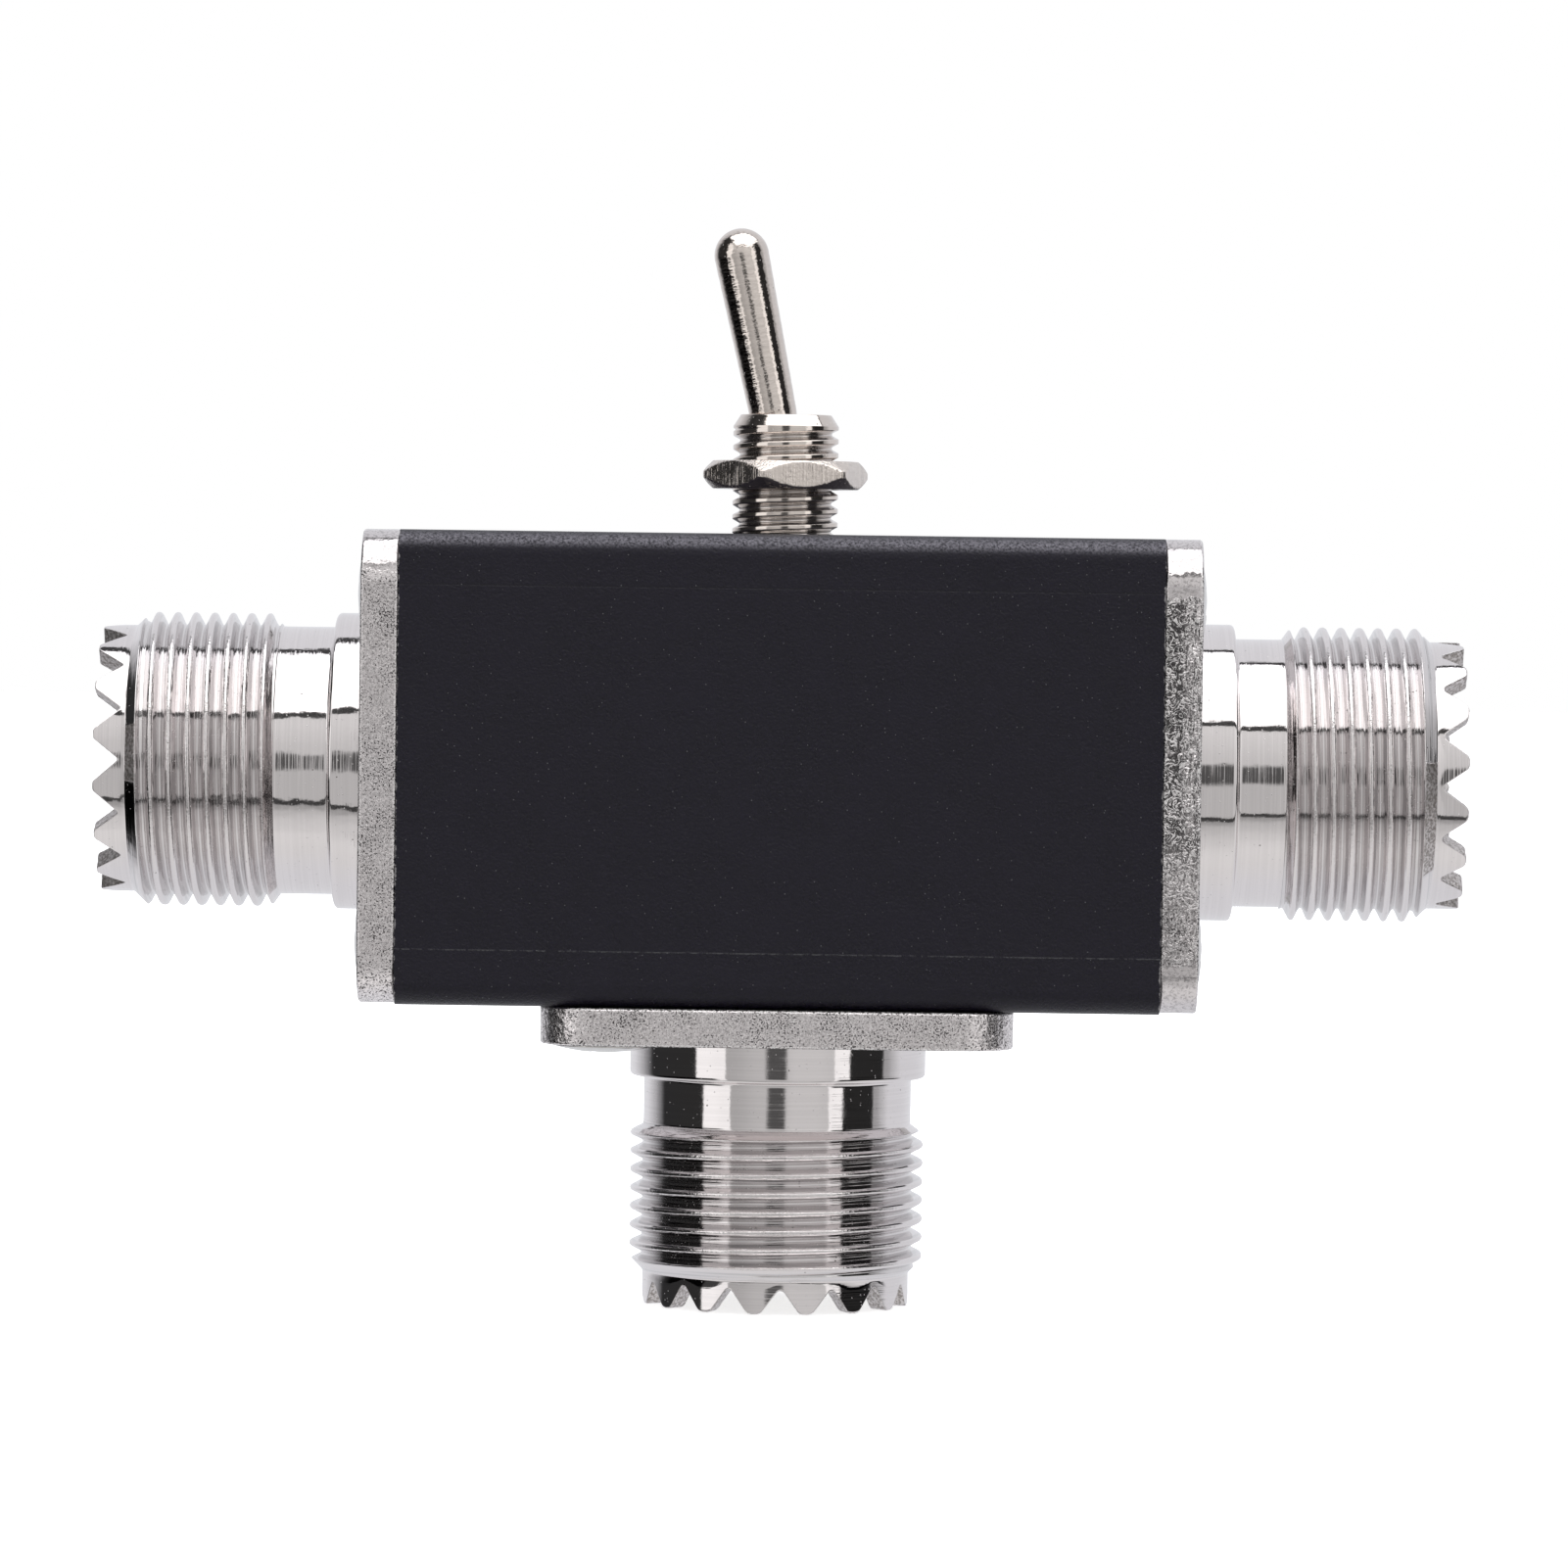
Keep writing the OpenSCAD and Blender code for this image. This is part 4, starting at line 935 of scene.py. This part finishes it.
def anodised(name, colour):
    """Blasted, dyed aluminium: fine grain, dust, a pale and a dark line from the die on the walls,
    whose colours are a painted highlight on a small ridge and painted shade in a shallow groove, a
    painted highlight along the top edges, and chipped cut ends."""
    material, tree, place = start_material(name, False)
    grain = use(tree, surface_grain(), Place=place, Scale=7.5, Twist=0.4)
    dust = use(tree, pits_and_dust(), Place=place, Scale=3.2, Size=0.13, Amount=0.7)["Dust"]
    x, y, z = add(tree, "ShaderNodeSeparateXYZ", {0: place}).outputs
    out_x, out_y = calc(tree, "ABSOLUTE", x), calc(tree, "ABSOLUTE", y)
    flank = ramp(tree, out_y, TUBE_SIDE - 0.15, TUBE_SIDE - 0.05)
    broken = noise(tree, stretch(tree, place, (3.0, 1.0, 1.0)), 1.0, 3.0, 0.7)
    drift = heap(tree, z, (broken, 0.06))

    def die_line(height, width):
        off = calc(tree, "ABSOLUTE", calc(tree, "SUBTRACT", drift, height))
        return times(tree, ramp(tree, off, width, width * 0.3), flank)

    # Die lines: the pale one is a small ridge whose lighter colour is a painted highlight; the dark
    # one is a shallow groove whose darker colour is painted shade
    pale = times(tree, die_line(TUBE_LOW + 3.0, 0.05), ramp(tree, broken, 0.38, 0.6))
    dark = die_line(TUBE_TOP - 2.84, 0.07)
    chip = ramp(tree, heap(tree, out_x, (noise(tree, place, 2.6, 4.0, 0.7), 0.5)),
                TUBE_END + 0.23, TUBE_END + 0.28)
    # Painted highlight: the rounded top edges are lightened as if lit from above
    edge = times(tree, ramp(tree, z, TUBE_TOP - 0.95, TUBE_TOP - 0.45),
                 ramp(tree, out_y, TUBE_SIDE - 0.9, TUBE_SIDE - 0.3),
                 ramp(tree, grain["Height"], 0.3, 0.68))
    tone = blend(tree, ramp(tree, grain["Tone"], 0.3, 0.7), rgba(colour, 0.9), rgba(colour, 1.15))
    tone = coats(tree, tone, (ramp(tree, grain["Height"], 0.45, 0.75), 1.0, rgba(colour, 1.5)),
                 (dark, 0.3, rgba(colour, 0.35)), (pale, 0.4, (0.12, 0.12, 0.125, 1)),
                 (dust, 0.45, (0.2, 0.2, 0.21, 1)), (chip, 0.5, (0.4, 0.38, 0.38, 1)),
                 (edge, 1.0, (0.15, 0.143, 0.168, 1)))
    height = heap(tree, grain["Height"], (dust, 1.0), (pale, 1.0), (dark, -0.2))
    roughness = ramp(tree, grain["Tone"], 0.3, 0.7, 0.27, 0.34)
    end_material(tree, tone, roughness, height, 0.07, Specular_IOR_Level=0.33)
    return material


def grained(name, colour, rough=0.4, scale=8.0, depth=0.01, metallic=0.0, spread=0.15, twist=0.0,
            squeeze=(1, 1, 1), **plain):
    """Moulded, drawn or stamped stuff: grain along the way it was worked, tone and a few specks."""
    material, tree, place = start_material(name, False)
    worked = stretch(tree, place, squeeze)
    grain = use(tree, surface_grain(), Place=worked, Scale=scale, Twist=twist)
    pits = use(tree, pits_and_dust(), Place=place, Scale=2.0, Size=0.08, Amount=0.12)["Pits"]
    tone = blend(tree, ramp(tree, grain["Tone"], 0.3, 0.7), rgba(colour, 1 - spread),
                 rgba(colour, 1 + spread / 2))
    tone = coats(tree, tone, (pits, 0.5, rgba(colour, 0.4)))
    height = heap(tree, grain["Height"], (pits, -0.6))
    roughness = ramp(tree, grain["Height"], 0.3, 0.7, rough * 0.88, rough * 1.15)
    end_material(tree, tone, roughness, height, depth, metallic=metallic, **plain)
    return material


def finish_node(node, material):
    """Gives a CAD node its material."""
    mesh = nodes[node].data
    mesh.materials.clear()
    mesh.materials.append(material)


# ---- Operators


class SWITCH_OT_barrels(bpy.types.Operator):
    """Turned barrels with their threads and castellated rims"""

    bl_idname = "switch.barrels"
    bl_label = "Barrels"

    def execute(self, context):
        scene = context.scene
        for seed, (side, (place, cut, scuffed, across)) in enumerate(SOCKETS.items(), 3):
            metal = turned_metal(f"Turned nickel {side}", scene.switch_colours.barrel,
                                 across=across)
            surface = barrel_surface(scene.switch_sizes, cut, scuffed, seed)
            piece = make_piece(f"turned_barrel_{side}", [grid_part(surface, place)], metal)
            stand_for(piece, f"barrel_{side}")
        return {"FINISHED"}


class SWITCH_OT_flanges(bpy.types.Operator):
    """Tumbled square flanges with rounded edges"""

    bl_idname = "switch.flanges"
    bl_label = "Flanges"

    def execute(self, context):
        scene = context.scene
        colour = scene.switch_colours.flange
        metals = {
            "left": tumbled_metal("Tumbled nickel", colour, smooth=(-14.0, 10.3)),
            "right": tumbled_metal("Hammered nickel", colour, swirl=0.78, smooth=(-9.4, 9.9),
                                   tones=(0.6, 1.04)),
            "bottom": tumbled_metal("Pebbled nickel", colour, grain_scale=7.5, dimple=3.0)}
        for side, (place, *_) in SOCKETS.items():
            parts = [(place(own), quads, own, hollow)
                     for own, quads, hollow in flange_surface(scene.switch_sizes)]
            piece = make_piece(f"tumbled_flange_{side}", parts, metals[side], weld=True)
            piece.data.set_sharp_from_angle(angle=math.radians(38))
            stand_for(piece, f"flange_{side}")
        return {"FINISHED"}


class SWITCH_OT_screws(bpy.types.Operator):
    """Low domed screws with cross recesses"""

    bl_idname = "switch.screws"
    bl_label = "Screws"

    def execute(self, context):
        metal = turned_metal("Screw nickel", (0.62, 0.6, 0.58), marks=(2.0, 2.0, 2.0), mark=0.003,
                             rough=0.16, shade_and_dirt=0.8)
        all_four, diagonal = [(-1, -1), (1, -1), (1, 1), (-1, 1)], [(1, -1), (-1, 1)]
        # Corners of the flange, length of the rod and height of the seat
        screws = {"left": (all_four, 8.0, -0.2), "right": (all_four, 8.0, -0.2),
                  "bottom": (diagonal, 6.0, 0.0)}
        for side, (corners, length, seat) in screws.items():
            place = SOCKETS[side][0]
            own, shape, hollow = screw_surface(length)
            parts = []
            for k, (sx, sy) in enumerate(corners):
                moved = spun(own, 0.6 + 1.7 * k) + np.array([sx * SCREW_AT, sy * SCREW_AT, seat])
                parts.append((place(moved), ring_faces(*shape)[:, ::-1], own, hollow))
            piece = make_piece(f"cross_screws_{side}", parts, metal, weld=True)
            stand_for(piece, f"screws_{side}")
        return {"FINISHED"}


class SWITCH_OT_toggle(bpy.types.Operator):
    """Threaded bushing, hexagon nut and lever of the toggle switch"""

    bl_idname = "switch.toggle"
    bl_label = "Toggle"

    def execute(self, context):
        scene = context.scene
        colour = scene.switch_colours.toggle
        threaded = turned_metal("Warm turned nickel", colour, marks=(0.2, 0.2, 7.0), mark=0.002,
                                rough=0.1, shade_and_dirt=0.3, jag=3.0, jag_marks=(1.5, 1.5, 4.0))
        planed = turned_metal("Warm planed nickel", colour, marks=(8.0, 8.0, 0.2), mark=0.035,
                              rough=0.17)
        drawn = turned_metal("Warm polished nickel", colour, marks=(0.2, 0.2, 6.0), mark=0.0022,
                             rough=0.09, jag=11.0, jag_marks=(2.2, 2.2, 7.0))
        bushing = make_piece("threaded_bushing",
                             [grid_part(bushing_surface(scene.switch_sizes))], threaded)
        nut = make_piece("hexagon_nut",
                         [grid_part(nut_surface(), lambda p: spun(p, math.radians(14.2)))], planed)
        nut.data.set_sharp_from_angle(angle=math.radians(24))
        own, shape, hollow = lever_surface()
        lever = make_piece("toggle_lever",
                           [(leaning(own), ring_faces(*shape)[:, ::-1], own, hollow)], drawn,
                           weld=True)
        for piece, node in ((bushing, "bushing"), (nut, "outer_nut"), (lever, "lever")):
            stand_for(piece, node)
        return {"FINISHED"}


class SWITCH_OT_housing(bpy.types.Operator):
    """Black anodised square tube"""

    bl_idname = "switch.housing"
    bl_label = "Housing"

    def execute(self, context):
        finish_node("housing", anodised("Black anodised aluminium",
                                        context.scene.switch_colours.housing))
        return {"FINISHED"}


class SWITCH_OT_spring(bpy.types.Operator):
    """Coiled spring that presses the plunger out of the lever"""

    bl_idname = "switch.spring"
    bl_label = "Plunger spring"

    def execute(self, context):
        low, top, coil_r, wire_r, coils, stroke = -3.035, -1.065, 0.6, 0.1, 6, 0.5
        wire = grained("Spring wire", (0.5, 0.5, 0.5), rough=0.25, scale=12.0, depth=0.003,
                       metallic=1.0)
        own, shape = spring_surface(low, top, coil_r, wire_r, coils)
        piece = make_piece("coiled_spring", [(leaning(own), ring_faces(*shape), own, 0.0)], wire,
                           weld=True)
        stand_for(piece, "plunger_spring")
        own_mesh(piece)
        return {"FINISHED"}


class SWITCH_OT_fittings(bpy.types.Operator):
    """Insulators and centre contacts inside the sockets"""

    bl_idname = "switch.fittings"
    bl_label = "Insulators and contacts"

    def execute(self, context):
        white = grained("White fluoropolymer", (0.83, 0.82, 0.79), rough=0.42, scale=5.0,
                        depth=0.008, spread=0.06, Subsurface_Weight=0.15,
                        Subsurface_Radius=(0.002, 0.002, 0.0018))
        gold = grained("Plated brass contact", (0.78, 0.62, 0.33), rough=0.2, scale=7.0,
                       depth=0.004, metallic=1.0, spread=0.1)
        for side in SOCKETS:
            finish_node(f"insulator_{side}", white)
            finish_node(f"contact_{side}", gold)
        return {"FINISHED"}


class SWITCH_OT_inside(bpy.types.Operator):
    """The switch's frame, case, terminals, rocker, plunger and wires"""

    bl_idname = "switch.inside"
    bl_label = "Inside"

    def execute(self, context):
        steel = grained("Plated steel strip", (0.62, 0.62, 0.61), rough=0.28, scale=6.0,
                        depth=0.005, metallic=1.0, squeeze=(0.2, 1, 1))
        phenolic = grained("Blue moulding", (0.035, 0.09, 0.2), rough=0.38, scale=14.0, depth=0.01)
        silver = grained("Silver plate", (0.82, 0.81, 0.78), rough=0.24, scale=8.0, depth=0.004,
                         metallic=1.0, spread=0.2)
        nylon = grained("Natural nylon", (0.75, 0.72, 0.62), rough=0.4, scale=9.0, depth=0.006)
        tin = grained("Tinned copper wire", (0.72, 0.71, 0.68), rough=0.3, scale=5.0, depth=0.008,
                      metallic=1.0, twist=0.5)
        red = grained("Red wire insulation", (0.42, 0.03, 0.025), rough=0.42, scale=7.0,
                      depth=0.01, squeeze=(0.25, 1, 1))
        finishes = {
            "lock_washer": steel, "switch_frame": steel, "lever_pin": steel, "rocker_pin": steel,
            "switch_base": phenolic, "terminal_common": silver, "terminal_left": silver,
            "terminal_right": silver, "rocker": silver, "plunger": nylon,
            "wire_left": tin, "wire_right": tin, "wire_bottom": tin,
            "sleeve_left": red, "sleeve_right": red}
        for node, material in finishes.items():
            finish_node(node, material)
        return {"FINISHED"}


def stepped(tree, value, start, turns):
    """A value that goes from one level to the next: each turn is (place, softness, new level)."""
    total, level = None, start
    for place, soft, new in turns:
        part = ramp(tree, value, place - soft, place + soft, 0.0, new - level)
        total = calc(tree, "ADD", part, start if total is None else total)
        level = new
    return total


def studio_world(stage):
    """Light by direction: panels above and at both front corners, paper behind and below, dark
    gaps between them and a dark disc where the camera stands. The camera itself sees plain white.

    The angles are in degrees: round_z turns about Z from the camera's side to the right, round_x
    about X from there upwards, and height is the rise over the horizon.
    """
    world = bpy.data.worlds.new("Studio")
    bpy.context.scene.world = world
    world.use_nodes = True
    tree = world.node_tree
    tree.nodes.clear()
    direction = add(tree, "ShaderNodeTexCoord").outputs["Generated"]
    unit = add(tree, "ShaderNodeVectorMath", {0: direction}, operation="NORMALIZE").outputs[0]
    x, y, z = add(tree, "ShaderNodeSeparateXYZ", {0: unit}).outputs
    degrees = 180 / math.pi
    ahead = times(tree, y, -1.0)
    round_x = times(tree, calc(tree, "ARCTAN2", z, ahead), degrees)
    round_z = times(tree, calc(tree, "ARCTAN2", x, ahead), degrees)
    off_z = calc(tree, "ABSOLUTE", round_z)
    height = times(tree, calc(tree, "ARCSINE", z), degrees)
    back, left, right = stage.backdrop, stage.left_panel, stage.right_panel

    # All round: paper, gap and panel by turns, brighter upwards in front and dark low at the sides
    ring = stepped(tree, round_z, back, [
        (-137, 14, 0.45), (-121, 9, 0.03), (-66, 1.0, left), (-40.5, 0.7, 0.49),
        (-25, 13, 0.60), (10, 5, 0.70), (40, 8, 0.66), (44.8, 0.7, right), (58.6, 0.7, 0.025),
        (90.5, 1.5, 0.40), (103, 10, 0.76), (150, 20, back)])
    slope = ramp(tree, height, -8, 32, 0.92, 1.29, "LINEAR")
    slope = mix(tree, ramp(tree, ahead, 0.55, 0.7), 1.0, slope)
    lower = calc(tree, "ADD", height, ramp(tree, x, -0.1, 0.1, 3.0, 0.0))
    sunk = times(tree, ramp(tree, off_z, 46, 52), ramp(tree, off_z, 116, 104),
                 ramp(tree, lower, -5, -7.5))
    ring = times(tree, ring, slope, ramp(tree, sunk, 0, 1, 1.0, 0.05, "LINEAR"))

    # Above: the panel with its dark surround, bounded to both sides by x over z
    skew = calc(tree, "DIVIDE", x, calc(tree, "MAXIMUM", z, 0.001))
    near = times(tree, ramp(tree, skew, -0.66, -0.58), ramp(tree, skew, 1.15, 1.05))
    over = stepped(tree, round_x, 0.0, [(37.8, 0.5, 1.0), (113.4, 0.6, 0.0)])
    over = times(tree, over, calc(tree, "MAXIMUM", near, ramp(tree, height, 44, 48)))
    lean = times(tree, ramp(tree, x, -0.06, 0.06, 0.0, 4.7), ramp(tree, round_x, 60, 95))
    level = stepped(tree, calc(tree, "SUBTRACT", round_x, lean), 0.06,
                    [(42.8, 0.5, stage.overhead), (104.8, 0.5, 0.06)])
    level = mix(tree, near, 0.04, level)

    # Below: round_x falls from -33 at the paper's front edge to -180 behind it
    steep = calc(tree, "DIVIDE", calc(tree, "ABSOLUTE", x),
                 calc(tree, "MAXIMUM", calc(tree, "ABSOLUTE", z), 0.001))
    steep = times(tree, steep, ramp(tree, x, -0.1, 0.1, 1.15, 0.42))
    under = times(tree, ramp(tree, round_x, -33.2, -33.8), ramp(tree, steep, 1.7, 1.4))
    paper = stepped(tree, round_x, back * 0.95, [
        (-105, 25, 0.79), (-78, 6, 0.81), (-60, 8, 0.70), (-47, 7, 0.55), (-40.5, 3, 0.38),
        (-36.7, 0.6, 0.05)])

    # The camera's dark disc: a square with round corners, by the fourth powers of both angles
    fourths = [calc(tree, "POWER", off, 4.0) for off in (off_z, calc(tree, "ABSOLUTE", height))]
    lens = calc(tree, "POWER", calc(tree, "ADD", *fourths), 0.25)
    total = mix(tree, over, mix(tree, under, ring, paper), level)
    total = times(tree, total, ramp(tree, lens, 9.8, 5.5, 1.0, 0.16))
    tint = blend(tree, ramp(tree, y, -0.3, 0.5), (1, 1, 1, 1), (0.985, 1.0, 1.045, 1))
    scaled = add(tree, "ShaderNodeVectorMath", {0: tint, "Scale": total},
                 operation="SCALE").outputs[0]
    light = add(tree, "ShaderNodeBackground", {"Color": scaled})
    plain = add(tree, "ShaderNodeBackground", {"Color": (1, 1, 1, 1), "Strength": 1.0})
    seen = add(tree, "ShaderNodeLightPath").outputs["Is Camera Ray"]
    mixed = add(tree, "ShaderNodeMixShader", {0: seen, 1: light.outputs[0], 2: plain.outputs[0]})
    add(tree, "ShaderNodeOutputWorld", {"Surface": mixed.outputs[0]})


def pale_paper():
    """Matt paper with a faint cloud in it, which glows a little for the camera alone."""
    paper = bpy.data.materials.new("Pale paper")
    paper.use_nodes = True
    tree = paper.node_tree
    tree.nodes.clear()
    place = add(tree, "ShaderNodeTexCoord").outputs["Object"]
    tone = blend(tree, noise(tree, place, 30.0, 4.0), (0.86, 0.86, 0.87, 1), (0.9, 0.9, 0.905, 1))
    diffuse = add(tree, "ShaderNodeBsdfDiffuse", {"Color": tone})
    seen = add(tree, "ShaderNodeLightPath").outputs["Is Camera Ray"]
    glow = add(tree, "ShaderNodeEmission", {"Strength": times(tree, seen, 0.75)})
    both = add(tree, "ShaderNodeAddShader", {0: diffuse.outputs[0], 1: glow.outputs[0]})
    add(tree, "ShaderNodeOutputMaterial", {"Surface": both.outputs[0]})
    return paper


def camera_turn(yaw, pitch, roll):
    """Turn of a camera that looks along +Y, then yaws right, pitches down and rolls."""
    forward = Vector((math.sin(yaw) * math.cos(pitch), math.cos(yaw) * math.cos(pitch),
                      -math.sin(pitch)))
    level = forward.cross(Vector((0, 0, 1))).normalized()
    across = level * math.cos(roll) + level.cross(forward) * math.sin(roll)
    return Matrix((across, across.cross(forward), -forward)).transposed().to_4x4()


class SWITCH_OT_stage(bpy.types.Operator):
    """Pale floor, studio light and the camera"""

    bl_idname = "switch.stage"
    bl_label = "Stage"

    def execute(self, context):
        scene = context.scene
        scene.view_settings.view_transform = "Standard"
        studio_world(scene.switch_stage)

        half, under = 2.0, 0.0001
        floor_mesh = bpy.data.meshes.new("floor")
        floor_mesh.from_pydata([(-half, -half, -under), (half, -half, -under),
                                (half, half, -under), (-half, half, -under)], [], [(0, 1, 2, 3)])
        floor_mesh.materials.append(pale_paper())
        floor = bpy.data.objects.new("floor", floor_mesh)
        scene.collection.objects.link(floor)
        floor.visible_glossy = False

        data = bpy.data.lights.new("Overhead light", "AREA")
        data.shape, data.size, data.size_y, data.energy = "RECTANGLE", 0.7, 0.5, 1.6
        light = bpy.data.objects.new("Overhead light", data)
        light.location = (0, -0.1, 0.6)
        light.rotation_euler = (math.radians(-9), 0, 0)
        light.visible_glossy = False
        scene.collection.objects.link(light)

        camera_data = bpy.data.cameras.new("Camera")
        camera_data.lens, camera_data.sensor_width = 170.3, 36.0
        camera_data.clip_start, camera_data.clip_end = 0.01, 20.0
        camera = bpy.data.objects.new("Camera", camera_data)
        stand = Matrix.Translation(Vector((3.3857, -401.0, 38.98)) * MM)
        camera.matrix_world = stand @ camera_turn(-0.0081, 0.0272, 0.0134)
        scene.collection.objects.link(camera)
        scene.camera = camera
        return {"FINISHED"}


class SWITCH_PT_panel(bpy.types.Panel):
    """Lists the steps and the values that they use"""

    bl_idname = "SWITCH_PT_panel"
    bl_label = "Antenna Switch"
    bl_space_type = "VIEW_3D"
    bl_region_type = "UI"
    bl_category = "Antenna Switch"

    def draw(self, context):
        layout, scene = self.layout, context.scene
        for group in (scene.switch_sizes, scene.switch_colours, scene.switch_stage):
            box = layout.box()
            for key in group.__annotations__:
                box.prop(group, key)
        for step in STEPS:
            layout.operator(step.bl_idname)


STEPS = (SWITCH_OT_barrels, SWITCH_OT_flanges, SWITCH_OT_screws, SWITCH_OT_toggle,
         SWITCH_OT_spring, SWITCH_OT_housing, SWITCH_OT_fittings, SWITCH_OT_inside,
         SWITCH_OT_stage)
CLASSES = (SwitchSizes, SwitchColours, SwitchStage) + STEPS + (SWITCH_PT_panel,)


def register():
    for cls in CLASSES:
        bpy.utils.register_class(cls)
    bpy.types.Scene.switch_sizes = PointerProperty(type=SwitchSizes)
    bpy.types.Scene.switch_colours = PointerProperty(type=SwitchColours)
    bpy.types.Scene.switch_stage = PointerProperty(type=SwitchStage)


def unregister():
    for name in ("switch_stage", "switch_colours", "switch_sizes"):
        delattr(bpy.types.Scene, name)
    for cls in reversed(CLASSES):
        bpy.utils.unregister_class(cls)


def main():
    register()
    for step in STEPS:
        group, action = step.bl_idname.split(".")
        getattr(getattr(bpy.ops, group), action)()


if __name__ == "__main__":
    main()
